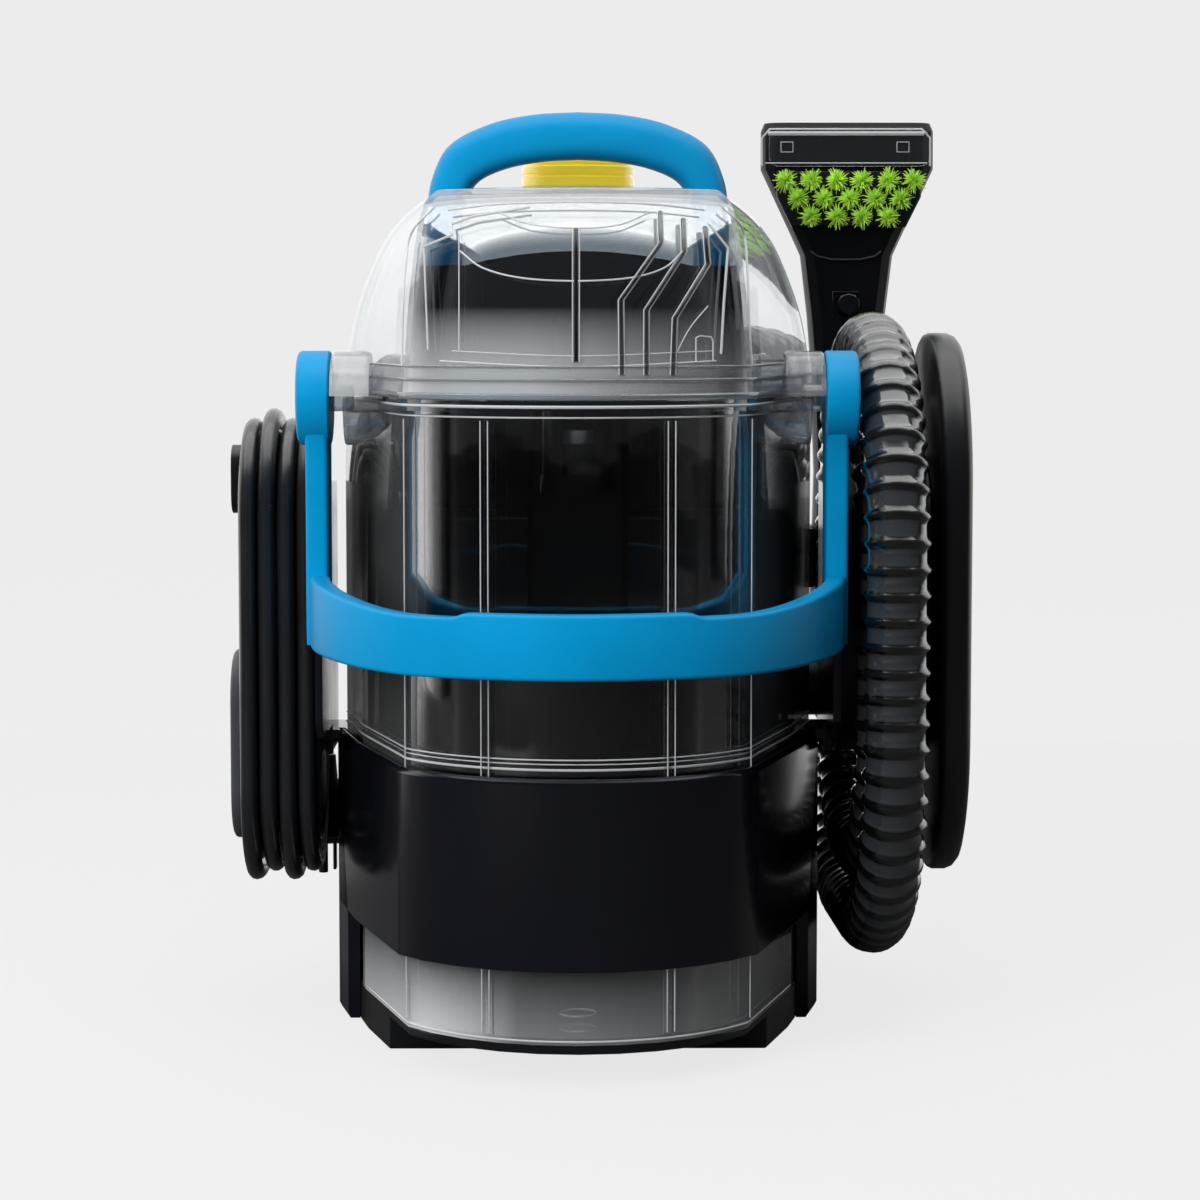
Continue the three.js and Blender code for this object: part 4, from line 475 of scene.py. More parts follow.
def cord_route():
    """The cord's middle from its gland through the hank to the plug, in metres."""
    start = HANK_X - LEAD_BEND
    points = [Vector((2 - start, LEAD_Y, CORD_LOW))]
    points += [Vector((-start - LEAD_BEND * math.sin(a), LEAD_Y - LEAD_BEND * (1 - math.cos(a)), CORD_LOW))
               for a in arc(10, 0, math.pi / 2)]
    points.append(Vector((-HANK_X, LEAD_EDGE, CORD_LOW)))
    stops = [BEND_SHARE * i / BEND_STEPS for i in range(BEND_STEPS + 1)]
    stops += [BEND_SHARE + RUN_SHARE + 2 * BEND_SHARE * i / OVER_STEPS for i in range(OVER_STEPS + 1)]
    stops += [1 - BEND_SHARE + BEND_SHARE * i / BEND_STEPS for i in range(BEND_STEPS)]
    places = [whole + stop for whole in range(math.ceil(HANK_TURNS)) for stop in stops]
    points += [hank_point(at) for at in places if at < HANK_TURNS - 0.01]
    end = hank_point(HANK_TURNS - 1e-6)
    points.append(end)
    for i in range(TAIL_STEPS + 1):
        share = i / TAIL_STEPS
        ease = share ** 3 * (share * (share * 6 - 15) + 10)
        points.append(Vector((end.x, end.y + (PLUG_Y - end.y) * ease, end.z - 2 * CORD_RADIUS - TAIL_DROP * share)))
    return [point * MM for point in points]


route = cord_route()
mains_cord = line("mains_cord", route, CORD_RADIUS, CORD_PVC, "chassis", turns=4)
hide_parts("cord_lead", "cord_hank", "cord_tail")
plug = softened("plug", CORD_PVC, "chassis", 0.8)

# ---- Hose ----
HOSE_RADIUS = 15.3
HOSE_SIDES = 28
RIB_PITCH = 11.4
RIB_STATIONS = 8  # rings of points from ridge to ridge
WEB_DEPTH = 1.9
RIDGE_POWER = 3.5  # how narrow a ridge is against its web
BORE_SHARE = 0.78
HOSE_END_GAP = 0.3
OUTER_LOOP, INNER_LOOP = 96, 64
LOOP_TOP, LOOP_LOW = 220, 141.5
WAND_Y, WAND_LOW = 130.6, 150
WAND_BEND, INNER_BEND = 68, 72.5
ELBOW_TOP = 184.6
HOSE_TURNS = (  # (straight run, radius of the quarter bends after it, how many)
    (WAND_LOW - LOOP_LOW + OUTER_LOOP - WAND_BEND, WAND_BEND, 1), (WAND_Y - WAND_BEND, OUTER_LOOP, 1),
    (LOOP_TOP - LOOP_LOW, OUTER_LOOP, 2), (LOOP_TOP - LOOP_LOW + INNER_LOOP - INNER_BEND, INNER_BEND, 1),
    (OUTER_LOOP - INNER_BEND, INNER_LOOP, 1), (LOOP_TOP - LOOP_LOW, INNER_LOOP, 2),
    (LOOP_TOP - ELBOW_TOP - HOSE_END_GAP, 0, 0))


def hose_x(y):
    """How far out the hose lies at a place along its loops."""
    return 137 - 0.04 * y + 3.5 * smoothstep(y, OUTER_LOOP + 1, WAND_Y)


def hose_route(step):
    """Points and headings along the hose in its (y, z) plane, always bending clockwise."""
    total = sum(run + count * radius * math.pi / 2 for run, radius, count in HOSE_TURNS)
    count = round(total / step)
    stations = []
    for i in range(count + 1):
        left = total * i / count
        y, z, heading = WAND_Y, WAND_LOW - HOSE_END_GAP, -math.pi / 2
        for run, radius, quarters in HOSE_TURNS:
            part = min(left, run)
            y, z, left = y + part * math.cos(heading), z + part * math.sin(heading), left - part
            part = min(left, quarters * radius * math.pi / 2)
            if part > 0:
                after = heading - part / radius
                y += radius * (math.sin(heading) - math.sin(after))
                z -= radius * (math.cos(heading) - math.cos(after))
                heading, left = after, left - part
            if left <= 0:
                break
        stations.append((Vector((hose_x(y), y, z)), heading))
    return stations


def hose():
    """The ribbed tube with plain cuffs at its ends, each open to its bore."""
    rings, ridges = [], []
    stations = hose_route(RIB_PITCH / RIB_STATIONS)
    for i, (centre, heading) in enumerate(stations):
        beat = 0.5 + 0.5 * math.cos(2 * math.pi * i / RIB_STATIONS)  # 1 on a ridge
        cuff = i < RIB_STATIONS or i >= len(stations) - RIB_STATIONS
        rise = 1.0 if cuff else beat ** RIDGE_POWER
        radius = HOSE_RADIUS - WEB_DEPTH * (1 - rise)
        up = Vector((0, -math.sin(heading), math.cos(heading)))
        rings.append([centre + Vector((radius * u, 0, 0)) + up * radius * v for u, v in circle(1, HOSE_SIDES)])
        ridges += [rise] * HOSE_SIDES
    for points, centre in ((rings[-1], stations[-1][0]), (rings[0], stations[0][0])):
        rings.append([centre + (point - centre) * BORE_SHARE for point in points])
        ridges += [0.5] * HOSE_SIDES
    made = piece("ribbed_hose", lofted(rings, (False, False)), HOSE_VINYL, "chassis", ("stretch_hose",), 60)
    marks = made.data.attributes.new("ridge", "FLOAT", "POINT")
    marks.data.foreach_set("value", ridges)


hose()

# ---- Chassis, tower and rack ----
softened("base_pan", BLACK_ABS, "chassis", 0.8)
softened("front_band", GLOSS_ABS, "chassis", 0.9, segments=3)
for side in ("left", "right"):
    softened(f"side_frame_{side}", GLOSS_ABS, "chassis", 0.7)
    for place in ("front", "rear"):
        softened(f"foot_pad_{place}_{side}", RUBBER, "chassis", 0.6, smooth=40)
softened("rear_housing", BLACK_ABS, "chassis", 1.2, segments=3, windows=True)
softened("tower_shell", SHADED_ABS, "chassis", 0.9)
softened("tower_back", BLACK_ABS, "chassis", 0.7)
softened("suction_duct", BLACK_ABS, "chassis", 0.6)
softened("rack_hub", BLACK_ABS, "chassis", 0.8)
softened("port_elbow", BLACK_ABS, "chassis", 0, smooth=40)
softened("tool_cradle", BLACK_ABS, "chassis", 0.8)
softened("exhaust_grille", BLACK_ABS, "chassis", 0.4, windows=True)
softened("switch_bezel", GLOSS_ABS, "chassis", 0.4)
softened("power_switch", BLACK_ABS, "rocker", 0.5)
softened("valve_receiver", BLACK_ABS, "chassis", 0.5)
softened("cord_gland", RUBBER, "chassis", 0.4, smooth=40)
softened("lower_hook", GREY_NYLON, "chassis", 0.8, segments=3)
softened("upper_hook", BLACK_ABS, "hook", 0.8, segments=3)


def rack_flange():
    """The oval face of the hose rack, dished, with a rolled rim."""
    outline = rounded((-77, 86), (70.5, 321), 70, 18)
    # How far out, and how far in from the outline.
    levels = [(162.3, 3.0), (163.4, 1.0), (165.3, 0.0), (171.0, 0.0), (174.0, 1.2), (176.2, 4.0), (177.0, 8.0),
              (176.6, 16.0), (174.6, 21.0), (174.3, 26.0), (174.3, 34.0)]
    rings = [[(x, y, z) for y, z in drawn_in(outline, inset)] for x, inset in levels]
    piece("rack_flange_face", lofted(rings), BLACK_ABS, "chassis", ("rack_flange",), 40)


rack_flange()


HANDLE_Y, HANDLE_HALF_DEPTH = 60, 13


def carry_handle():
    """The arch over the tower: an oval grip that flares into two square feet."""
    # Half of the arch from its foot to its top, at its outer and inner edge.
    outer = eased([(73, 353.3), (72.6, 378), (70.2, 395), (61.5, 411), (42, 421), (21, 425.4), (0, 426.6)], 7)
    inner = eased([(56, 353.3), (56, 372), (53.5, 384), (47.5, 393.5), (34, 399.6), (17, 402.8), (0, 403.8)], 7)
    pairs = list(zip(outer, inner))
    pairs += [(Vector((-a.x, a.y)), Vector((-b.x, b.y))) for a, b in reversed(pairs[:-1])]
    rings = []
    for outside, inside in pairs:
        middle, half = (outside + inside) / 2, (outside - inside) / 2
        rise = smoothstep(middle.y, 356, 385)
        outline = pillow(6.0 - 3.2 * rise, 32)
        rings.append([(middle.x + u * half.x, HANDLE_Y + HANDLE_HALF_DEPTH * v, middle.y + u * half.y)
                      for u, v in outline])
    piece("carry_handle_arch", lofted(rings), BLUE_ABS, "chassis", ("carry_handle",), 50)


carry_handle()

# ---- Wand and tool ----
softened("wand_cuff", BLACK_ABS, "chassis", 0.5)
softened("wand_grip", TOOL_ABS, "chassis", 0.8)
softened("spray_trigger", BLUE_ABS, "trigger", 0.6)
softened("tool_body", TOOL_ABS, "tool", 0.9, segments=3)
softened("release_button", GLOSS_ABS, "button", 0.5)
softened("tool_window", CLEAR_PC, "tool", 0.4)
WAND_X = hose_x(WAND_Y)
BRUSH_FACE = WAND_Y - 17.5
HEAD_FACE = WAND_Y - 19.3
NECK_SETBACK = 2.3  # how far behind the head's face the neck's marks lie
TUFT_ROWS = ((396, 6), (387, 5), (378, 4))  # height and count
TUFT_PITCH, TUFT_HEIGHT = 12.8, 4.5
TUFT_STRANDS = 130
STRAND_LENGTHS = (3.4, 4.0, 4.4, 4.8, 5.9)
GOLDEN_TURN = 2.39996  # radians, so that the strands spread evenly


def placed_cone(bm, facing, centre, **sizes):
    """Adds a cone that points along a direction, with its middle at a place."""
    verts = bmesh.ops.create_cone(bm, **sizes)["verts"]
    bmesh.ops.rotate(bm, verts=verts, matrix=facing.to_track_quat("Z", "X").to_matrix())
    bmesh.ops.translate(bm, verts=verts, vec=centre)


def brush():
    """Fifteen bushy tufts over a black plate."""
    outline = [(WAND_X + u, v) for u, v in ((-28.5, 373), (28.5, 373), (36, 388), (36, 401), (-36, 401), (-36, 388))]
    levels = ((WAND_Y - 13.3, 0.6), (WAND_Y - 14, 0), (BRUSH_FACE + 0.8, 0), (BRUSH_FACE, 0.8))
    rings = [[(u, y, v) for u, v in drawn_in(outline, inset)] for y, inset in levels]
    piece("brush_backing", lofted(rings), BLACK_ABS, "tool")
    rng = random.Random(7)
    bm = bmesh.new()
    for z, count in TUFT_ROWS:
        for i in range(count):
            centre = Vector((WAND_X + (i - (count - 1) / 2) * TUFT_PITCH, BRUSH_FACE - TUFT_HEIGHT, z))
            for k in range(TUFT_STRANDS):
                lean = math.acos(1 - 1.2 * (k + 0.5) / TUFT_STRANDS) + rng.uniform(-0.15, 0.15)
                spin = k * GOLDEN_TURN + rng.uniform(-0.5, 0.5)
                out = Vector((math.sin(lean) * math.cos(spin), -math.cos(lean), math.sin(lean) * math.sin(spin)))
                length = rng.choice(STRAND_LENGTHS) + 1.6 * (1 - math.sin(lean))
                placed_cone(bm, out, centre + out * (0.9 + length / 2), cap_ends=False, segments=3, radius1=0.55,
                            radius2=0.16, depth=length)
            placed_cone(bm, Vector((0, -1, 0)), centre + Vector((0, 2.2, 0)), cap_ends=True, segments=12, radius1=3.1,
                        radius2=2.6, depth=5.4)
    piece("brush_tufts", bm, LIME_NYLON, "tool", ("brush_plate",), 80)


brush()


def on_plane(px, py, y):
    """The point at a depth (mm) that a point of the photograph shows."""
    ray = sight(px, py)
    return eye + ray * ((y * MM - eye.y) / ray.y)


def tool_marks():
    """The clear head's folded frame and its two catches; pale and grey lines painted as highlights along the head's top
    edge and round the neck; and the neck's latch pocket.
    """
    marks = (  # name, line on the photograph, radius, material, closed
        ("frame", [(762, 166), (762, 138), (770, 129), (922, 129), (930, 138), (930, 166)], 0.5, EDGE_PC, False),
        ("frame_foot", [(765, 163), (927, 163)], 0.3, EDGE_PC, False),
        # painted highlight: a bright pale line along the head's top edge
        ("top_lip_highlight", [(768, 133.5), (924, 133.5)], 1.1, EDGE_PC, False),
        ("catch_left", [(781, 142), (793, 142), (793, 152), (781, 152)], 0.28, EDGE_PC, True),
        ("catch_right", [(897, 142), (909, 142), (909, 152), (897, 152)], 0.28, EDGE_PC, True),
        # painted highlight: a grey line curving over the neck
        ("collar_highlight", [(811, 251), (817, 256), (832, 259.5), (860, 259.5), (875, 256), (881, 251)], 0.45, GREY_NYLON,
         False),
        ("pocket", [(833, 318), (833, 292), (858, 292), (858, 318)], 0.5, GLOSS_ABS, False))
    for word, pixels, radius, material, closed in marks:
        depth = HEAD_FACE + (NECK_SETBACK if word in ("collar_highlight", "pocket") else 0)
        points = [on_plane(x, y, depth) for x, y in pixels]
        line(f"tool_{word}", points, radius, material, "tool", closed)


tool_marks()

# ---- Dirty tank ----
softened("dirty_tank", TANK_PC, "dirty_tank_body", 0.5)
softened("separator_stack", SHADED_ABS, "dirty_tank_body", 0.4)
softened("tank_seal", RUBBER, "lid", 0)
softened("lid_deck", SMOKE_PC, "lid", 0)
softened("float_cage", SHADED_ABS, "lid", 0.3)
softened("float", BLACK_ABS, "float_body", 0.5)


def bowed_plan(nose, corner, flank, steps=16):
    """A bowed front between two corners, and the right flank mirrored to the left."""
    sag = corner[1] - nose
    radius = (corner[0] ** 2 + sag ** 2) / (2 * sag)
    half = math.asin(corner[0] / radius)
    bow = [(radius * math.sin(a), nose + radius * (1 - math.cos(a))) for a in arc(2 * steps + 1, -half, half)]
    return bow + flank + [(-x, y) for x, y in reversed(flank)]


CHASSIS_NOSE, CHASSIS_CORNER = -163, (78.7, -121)
CHASSIS_FLANK = [(102.7, -38.4), (114.2, 14.4), (116, 45.5), (108, 55.5)]
TANK_INSET = 4.5  # of the tank's outer face within the chassis
TANK_BACK = 40.0
TANK_BEADS = (  # name, height, further inset, half width, radius
    ("rim_upper", 291.0, -2.0, 113.2, 0.7), ("rim_lower", 286.5, -0.1, 111.4, 0.4),
    ("ledge_upper", 141.5, -0.1, 111.4, 0.35), ("ledge_lower", 137.2, -0.1, 111.4, 0.6),
    ("ledge_middle", 139.6, 0.3, 111.2, 0.3), ("foot", 20.2, 0.2, 99.8, 0.5))
TANK_UPRIGHTS = ((38.2, 3.6, "rib_inner"), (41.4, 3.6, "rib_outer"), (75.2, 4.3, "corner"))
UPRIGHT_HEIGHTS = (23, 60, 120, 180, 240, 285)
DIMPLE_RADIUS, DIMPLE_Y, DIMPLE_Z = 8, -118, 24.4


def tank_outline(inset, half):
    """The tank's plan from the left flank round the front to the right, drawn in and cropped at its sides and back."""
    plan = drawn_in(bowed_plan(CHASSIS_NOSE, CHASSIS_CORNER, CHASSIS_FLANK), TANK_INSET + inset)
    plan = plan[-len(CHASSIS_FLANK):] + plan[:-len(CHASSIS_FLANK)]
    return [(max(-half, min(half, x)), y) for x, y in plan if y < TANK_BACK]


def tank_line(word, points, radius, closed=False):
    """A pale moulded edge of the tank, through points in millimetres."""
    line(f"tank_{word}", [Vector(point) * MM for point in points], radius, EDGE_PC, "dirty_tank_body", closed)


def tank_edges():
    """Beads round the tank, pale edges down its ribs and corners, and the dimple in its floor."""
    for word, z, inset, half, radius in TANK_BEADS:
        tank_line(word, [(x, y, z) for x, y in tank_outline(inset, half)], radius)
    sag = CHASSIS_CORNER[1] - CHASSIS_NOSE
    radius = (CHASSIS_CORNER[0] ** 2 + sag ** 2) / (2 * sag)
    for x, depth, word in TANK_UPRIGHTS:
        y = CHASSIS_NOSE + radius * (1 - math.cos(math.asin(x / radius))) + depth
        for side, end in ((-1, "left"), (1, "right")):
            tank_line(f"{word}_{end}", [(side * x, y, z) for z in UPRIGHT_HEIGHTS], 0.3)
    tank_line("dimple", [(u, DIMPLE_Y + v, DIMPLE_Z) for u, v in circle(DIMPLE_RADIUS, 32)], 0.5, closed=True)


tank_edges()

# ---- Lid ----
# Height, nose, corner across and along, and half width, from the rim up to the crown.
LID_KNOTS = [(294.0, -157, 76, -120.5, 110), (302, -155.2, 75.2, -119.5, 108.7), (330, -148, 73.5, -115.5, 103.6),
             (356, -139, 71, -108.5, 94), (370, -130.5, 69, -101.5, 85.5), (379, -121, 66.5, -94, 76),
             (384, -110, 62, -86, 66)]
CROWN_STEPS = ((3, 0.5), (8, 0.9), (16, 1.1))  # inset and rise above the last knot
LID_BEADS = ((295.2, -0.4, 1.5), (301.5, -0.2, 0.8), (308.5, 0.0, 0.6))  # height, inset, radius
WALL = 2.5
BEND_Y = CHASSIS_FLANK[0][1]
FLANK_SHARE = (CHASSIS_FLANK[0][0] - CHASSIS_CORNER[0]) / (CHASSIS_FLANK[1][0] - CHASSIS_CORNER[0])


def lid_outline(knot, inset=0.0):
    """The lid's plan at one of its knots."""
    z, nose, corner_x, corner_y, side = knot
    flank = eased([(corner_x, corner_y), (corner_x + FLANK_SHARE * (side - corner_x), BEND_Y), (side, 0)], 14)[1:]
    flank = [tuple(point) for point in flank] + [(side, 28), (side - 1.2, 32.5), (side - 7, 36)]
    return [(x, y, z) for x, y in drawn_in(bowed_plan(nose, (corner_x, corner_y), flank), inset)]


def lid():
    """The clear dome: crisp front corners, rolled crown, thin wall. Returns its outer face to draw lines on."""
    rings = [lid_outline(knot) for knot in eased(LID_KNOTS, 8)]
    top = LID_KNOTS[-1]
    rings += [[(x, y, z + rise) for x, y, z in lid_outline(top, inset)] for inset, rise in CROWN_STEPS]
    bm = lofted(rings, (False, True))
    bmesh.ops.scale(bm, vec=(MM,) * 3, verts=bm.verts)
    surface = BVHTree.FromBMesh(bm)
    bmesh.ops.scale(bm, vec=(1 / MM,) * 3, verts=bm.verts)
    made = piece("lid_dome_shell", bm, LID_PC, "lid", ("lid_dome",), 15)
    wall = made.modifiers.new("wall", "SOLIDIFY")
    wall.thickness = WALL * MM
    wall.offset = -1
    return surface


dome = lid()


def on_dome(px, py):
    """The point of the dome that a point of the photograph shows, or None beside it."""
    return dome.ray_cast(eye, sight(px, py))[0]


def dome_line(name, pixels, radius, material=EDGE_PC, curved=False):
    """A moulded line on the dome, along a line on the photograph."""
    per = 10
    if curved:
        pixels = [tuple(pixel) for pixel in eased(pixels, 8)]
        per = 2
    points = []
    for (x0, y0), (x1, y1) in zip(pixels, pixels[1:]):
        points += [on_dome(x0 + (x1 - x0) * i / per, y0 + (y1 - y0) * i / per) for i in range(per)]
    points.append(on_dome(*pixels[-1]))
    line(name, [point for point in points if point], radius, material, "lid")


def dome_rib(name, pixels, half=2.7, spine=SMOKE_PC):
    """A raised rib: a dark spine between two edges that pipe light."""
    dome_line(f"{name}_spine", pixels, 0.95, spine)
    for side, word in ((-1, "left"), (1, "right")):
        dome_line(f"{name}_{word}", [(x + side * half, y) for x, y in pixels], 0.3)


dome_rib("dome_rib_middle", [(576, 229), (576, 362)], 3.4, BLACK_GLAZE)
dome_rib("dome_step_rib_1", [(660, 212), (661, 243), (621, 300), (622, 375)])
dome_rib("dome_step_rib_2", [(683, 219), (684, 252), (646.5, 310), (646.5, 375)])
dome_rib("dome_step_rib_3", [(705, 227), (708, 264), (675, 318), (673, 375)])
DOME_LINES = (  # name, line on the photograph, radius, curved
    ("lens_upper", [(500, 213), (530, 224), (575, 228), (618, 225), (648, 213)], 0.4, True),
    ("lens_lower", [(460, 251), (483, 268), (522, 278), (575, 281), (629, 278), (664, 268), (683, 251)], 0.4, True),
    ("step_left", [(423, 247), (452, 235), (451, 224), (474, 216), (530, 207)], 0.6, False),
    ("upright_left_outer", [(424, 248), (426, 300), (428, 350)], 0.45, False),
    ("upright_left_inner", [(459, 237), (459, 350)], 0.3, False),
    ("visor_right", [(709, 224), (728, 248), (724, 300), (721, 354)], 0.6, False),
    # painted highlight: a pale line where a highlight runs down the dome's right side
    ("glint", [(708, 306), (690, 328), (676, 354)], 0.3, True),
    ("clip", [(696, 362), (696, 338), (700, 336), (711, 337), (713, 341), (713, 362)], 0.35, False),
    ("corner_left", [(434, 207), (412, 232), (406, 262), (403, 310), (402, 366)], 0.55, True),
    ("corner_right", [(722, 207), (742, 228), (747, 262), (749, 318), (752, 366)], 0.55, True),
    ("crown_arc", [(448, 210), (500, 204), (575, 202), (650, 204), (704, 210)], 0.5, True),
    ("skirt_upper", [(452, 351), (576, 356), (712, 351)], 0.25, True),
    ("skirt_lower", [(440, 361), (576, 367), (716, 361)], 0.35, True))
for word, pixels, radius, curved in DOME_LINES:
    dome_line(f"dome_{word}", pixels, radius, curved=curved)
for number, (height, inset, radius) in enumerate(LID_BEADS, 1):
    knot = min(eased(LID_KNOTS, 12), key=lambda knot: abs(knot[0] - height))
    line(f"lid_bead_{number}", [Vector(point) * MM for point in lid_outline(knot, inset)], radius, THICK_PC, "lid",
         closed=True)


BAIL_AXIS = (-72, 292.7)
BOSS_SPLIT_LID, BOSS_SPLIT_TANK = 294.0, 292.8


def turned(name, profile, side, material, body, above=None, below=None):
    """A body turned about the bail's axis from a profile of radii and places along it, on one side of the machine.

    above or below cuts it at a height and keeps that part.
    """
    y, z = BAIL_AXIS
    bm = lofted([[(along * side, y + u, z + v) for u, v in circle(radius, 48)] for radius, along in profile])
    if above or below:
        bmesh.ops.bisect_plane(bm, geom=bm.verts[:] + bm.edges[:] + bm.faces[:], dist=0.0001,
                               plane_co=(0, 0, above or below), plane_no=(0, 0, 1), clear_outer=below is not None,
                               clear_inner=above is not None)
        bmesh.ops.holes_fill(bm, edges=[edge for edge in bm.edges if edge.is_boundary])
        bmesh.ops.recalc_face_normals(bm, faces=bm.faces)
    piece(name, bm, material, body)


for side, word in ((-1, "left"), (1, "right")):
    turned(f"lid_boss_{word}", [(20, 92), (21, 93.5), (21, 108), (20, 109.4), (12, 109.4)], side, LID_PC, "lid",
           above=BOSS_SPLIT_LID)
    turned(f"lid_pin_{word}", [(5.2, 100), (6, 101), (6, 117.2), (5.4, 118)], side, THICK_PC, "lid")
    turned(f"tank_boss_{word}", [(3, 79.5), (8, 81), (13, 84.5), (16.8, 89), (19.3, 94), (20.7, 99), (21.1, 102.5),
                                 (20.4, 103.5)], side, THICK_PC, "dirty_tank_body",
           below=BOSS_SPLIT_TANK)


# ---- Bail ----
BOW_LOW, BOW_HIGH = 177, 203
PLATEAU = 1.9  # the bare raised panel on the bow's top edge


def bail():
    """The blue bow and its two arms and hubs."""
    knots = [(116, -72), (111, -100), (96, -126), (72, -149), (42, -165), (0, -173.5)]
    knots += [(-x, y) for x, y in reversed(knots[:-1])]
    path = eased(knots, 14)
    rings = []
    for i, point in enumerate(path):
        before, after = path[max(i - 1, 0)], path[min(i + 1, len(path) - 1)]
        along = (after - before).normalized()
        out = Vector((-along.y, along.x)) * -1
        share = abs(2 * i / (len(path) - 1) - 1)
        rise = smoothstep(share, 0.35, 1)
        plateau = PLATEAU * (1 - smoothstep(abs(point.x), 46, 52))
        outline = rounded((-4.5, 4.5), (BOW_LOW + 5 * rise, BOW_HIGH + 11.5 * rise + plateau), 1.8, 4)
        rings.append([(point.x + out.x * u, point.y + out.y * u, v) for u, v in outline])
    piece("bail_bow", lofted(rings), BLUE_ABS, "bail", ("bail_handle",), 40)
    for side, word in ((-1, "left"), (1, "right")):
        levels = [(183, 9.5), (190, 11.4), (205, 11.6), (240, 11.4), (272, 12.5), (286, 16)]  # height, half depth
        rings = [[(side * 115.5 + u, BAIL_AXIS[0] + v, z) for u, v in rounded((-5.4, 4.8), (-half, half), 2.2, 4)]
                 for z, half in levels]
        piece(f"bail_arm_{word}", lofted(rings), BLUE_ABS, "bail", (), 40)
        turned(f"bail_hub_{word}", [(14, 109.9), (20.2, 109.9), (21, 110.6), (21, 122.6), (20.4, 123.8), (19, 124.5),
                                    (9, 124.5), (8, 124.0)], side, BLUE_ABS, "bail")


bail()

# ---- Clean tank ----
softened("clean_tank", CLEAR_PC, "clean_tank_body", 0.6)
softened("valve_poppet", WHITE_POM, "poppet", 0.3)


CAP_Y = 118.25


def cap():
    """The screw cap: stacked grip rings over a plain skirt."""
    profile = [(23.2, 392.5), (27.4, 392.5), (28, 393.2), (28, 397.2), (26.8, 397.8), (26.8, 398.8), (28, 399.4),
               (28, 402.4), (26.8, 403.0), (26.8, 404.0), (27.6, 404.6), (27.6, 407.6), (26, 409.2), (22, 410),
               (10, 410)]
    bm = lofted([[(u, CAP_Y + v, z) for u, v in circle(radius, 72)] for radius, z in profile])
    piece("clean_cap_rings", bm, YELLOW_PP, "cap", ("clean_cap",), 35)


cap()

# ---- Inside ----
INSIDE = (  # node, material, body, width of its small radii
    ("motor_mount", RUBBER, "chassis", 0), ("motor_can", STEEL, "chassis", 0.4),
    ("fan_scroll", BLACK_ABS, "chassis", 0), ("fan_impeller", ALLOY, "rotor", 0), ("motor_shaft", STEEL, "rotor", 0),
    ("pump_body", GREY_NYLON, "chassis", 0.4),
    ("water_tube", WHITE_POM, "chassis", 0), ("control_board", BOARD, "chassis", 0))
for node, material, body, width in INSIDE:
    softened(node, material, body, width)

# ---- Floor, backdrop and light ----
PALE = "EBEBEB"


def lit_board():
    """Matt painted board under an even wash: pale and even to the eye, bright behind the machine, dim before it."""
    made, tree = blank("matt_painted_board")
    path = add(tree, "ShaderNodeLightPath")
    place = add(tree, "ShaderNodeTexCoord")
    split = add(tree, "ShaderNodeSeparateXYZ", None, {"Vector": (place, "Object")})
    behind = add(tree, "ShaderNodeMapRange", {"From Min": 0.3, "From Max": 1.0, "To Min": 0.0, "To Max": 0.9},
                 {"Value": (split, "Y")})
    seen = add(tree, "ShaderNodeMath", {1: 0.88}, {0: (path, "Is Camera Ray")}, operation="MULTIPLY")
    share = add(tree, "ShaderNodeMath", None, {0: (seen, "Value"), 1: (behind, "Result")}, operation="MAXIMUM")
    tone = add(tree, "ShaderNodeMapRange", {"To Min": 0.1, "To Max": 0.8}, {"Value": (path, "Is Camera Ray")})
    paint = add(tree, "ShaderNodeBsdfDiffuse", None, {"Color": (tone, "Result")})
    glare = add(tree, "ShaderNodeMapRange", {"To Min": 1.6, "To Max": 1.06}, {"Value": (path, "Is Camera Ray")})
    wash = add(tree, "ShaderNodeEmission", {"Color": colour(PALE)}, {"Strength": (glare, "Result")})
    whole = add(tree, "ShaderNodeMixShader", None, {"Fac": (share, "Value"), 1: (paint, "BSDF"), 2: (wash, "Emission")})
    add(tree, "ShaderNodeOutputMaterial", None, {"Surface": (whole, "Shader")})
    return made


def staged(name, bm, material):
    """An object of the stage, from a bmesh in metres."""
    mesh = bpy.data.meshes.new(name)
    bm.to_mesh(mesh)
    bm.free()
    made = bpy.data.objects.new(name, mesh)
    mesh.materials.append(material)
    bpy.context.scene.collection.objects.link(made)
    return made


def backdrop():
    """A floor that curves up into a wall far behind."""
    bm = bmesh.new()
    reach, bend_starts, bend_radius, top = 6000, 1800, 900, 5000
    curve = [(bend_starts + bend_radius * math.sin(a), bend_radius * (1 - math.cos(a)))
             for a in arc(16, 0, math.pi / 2)]
    profile = [(-reach, 0), *curve, (bend_starts + bend_radius, top)]
    verts = [bm.verts.new((-reach, y, z)) for y, z in profile]
    edges = [bm.edges.new(pair) for pair in zip(verts, verts[1:])]
    drawn = bmesh.ops.extrude_edge_only(bm, edges=edges)["geom"]
    bmesh.ops.translate(bm, verts=[v for v in drawn if isinstance(v, bmesh.types.BMVert)], vec=(2 * reach, 0, 0))
    bmesh.ops.recalc_face_normals(bm, faces=bm.faces)
    bmesh.ops.scale(bm, vec=(MM,) * 3, verts=bm.verts)
    for face in bm.faces:
        face.smooth = True
    staged("backdrop", bm, lit_board())


backdrop()


def softbox(name, at, look, size, power):
    """A soft light that mirrors don't show."""
    light = bpy.data.lights.new(name, "AREA")
    light.shape = "RECTANGLE"
    light.size, light.size_y = size
    light.energy = power
    made = bpy.data.objects.new(name, light)
    made.location = at
    made.rotation_euler = (Vector(look) - Vector(at)).to_track_quat("-Z", "Y").to_euler()
    made.visible_glossy = False
    bpy.context.scene.collection.objects.link(made)


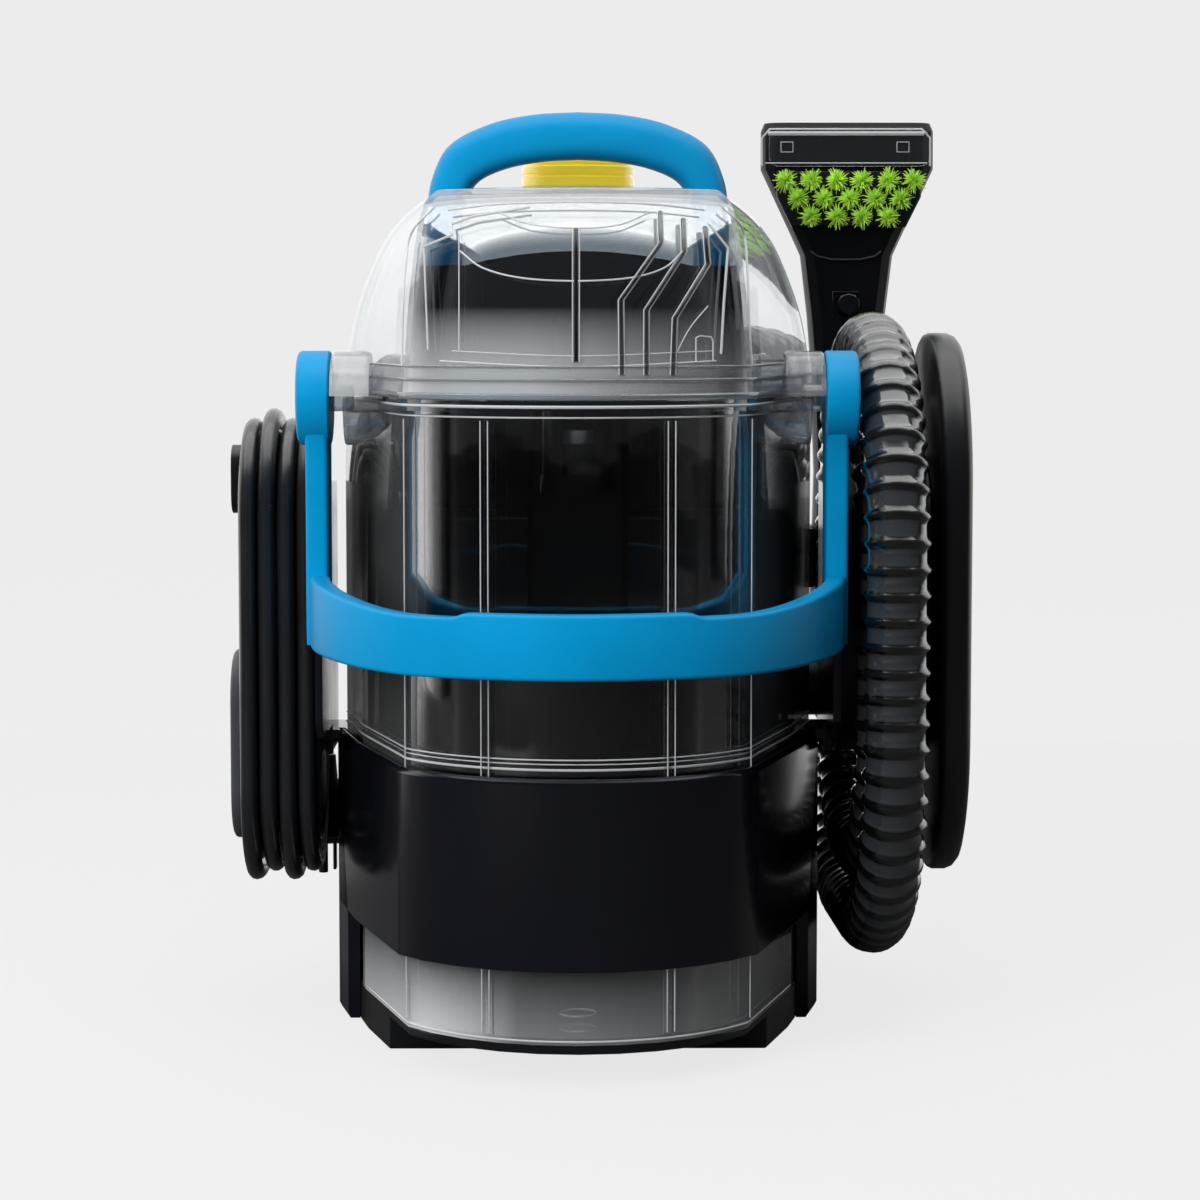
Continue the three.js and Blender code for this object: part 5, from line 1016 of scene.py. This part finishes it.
def lit_scrim(name, strength, dim, bright):
    """Nylon scrim lit from behind, dim to bright along the room's Y: long soft streaks in what is polished."""
    made, tree = blank(name)
    place = add(tree, "ShaderNodeTexCoord")
    split = add(tree, "ShaderNodeSeparateXYZ", None, {"Vector": (place, "Object")})
    fade = add(tree, "ShaderNodeMapRange", {"From Min": dim, "From Max": bright, "To Min": 0.0, "To Max": strength},
               {"Value": (split, "Y")}, interpolation_type="SMOOTHSTEP")
    glow = add(tree, "ShaderNodeEmission", {"Color": colour("FFFFFF")}, {"Strength": (fade, "Result")})
    add(tree, "ShaderNodeOutputMaterial", None, {"Surface": (glow, "Emission")})
    return made


def glow_card(word, corners, strength, dim, bright):
    """A glowing card that only reflections show."""
    bm = bmesh.new()
    bmesh.ops.contextual_create(bm, geom=[bm.verts.new(corner) for corner in corners])
    card = staged(f"{word}_card", bm, lit_scrim(f"lit_nylon_scrim_{word}", strength, dim, bright))
    card.visible_camera = card.visible_diffuse = card.visible_shadow = False


softbox("overhead", (0.0, -0.6, 1.75), (0, -0.05, 0.25), (1.7, 1.1), 15.5)
softbox("front_fill", (-1.05, -1.65, 1.0), (0, -0.1, 0.25), (1.1, 1.1), 29)
softbox("low_fill", (-0.7, -1.0, 0.12), (-0.03, -0.15, 0.03), (0.5, 0.16), 3.2)
glow_card("crown", [(-1.6, -1.2, 1.75), (1.6, -1.2, 1.75), (1.6, 0.9, 1.75), (-1.6, 0.9, 1.75)], 2.6, -1.15, -0.45)
glow_card("left", [(-1.5, -0.4, -0.1), (-1.5, 1.0, -0.1), (-1.5, 1.0, 1.4), (-1.5, -0.4, 1.4)], 1.6, -0.3, 0.45)
glow_card("right", [(1.5, -0.3, 0.1), (1.5, 0.9, 0.1), (1.5, 0.9, 1.3), (1.5, -0.3, 1.3)], 1.5, -0.05, 0.5)

world = bpy.data.worlds.new("studio")
bpy.context.scene.world = world
world.use_nodes = True
world.node_tree.nodes.clear()
# The room round the floor is as pale to the eye, and gives the machine only a little light.
sight_line = add(world.node_tree, "ShaderNodeLightPath")
dim_or_pale = add(world.node_tree, "ShaderNodeMapRange", {"To Min": 0.1, "To Max": 0.95},
                  {"Value": (sight_line, "Is Camera Ray")})
air = add(world.node_tree, "ShaderNodeBackground", {"Color": colour("F0F1F3")}, {"Strength": (dim_or_pale, "Result")})
add(world.node_tree, "ShaderNodeOutputWorld", None, {"Surface": (air, "Background")})
bpy.context.scene.view_settings.view_transform = "Standard"
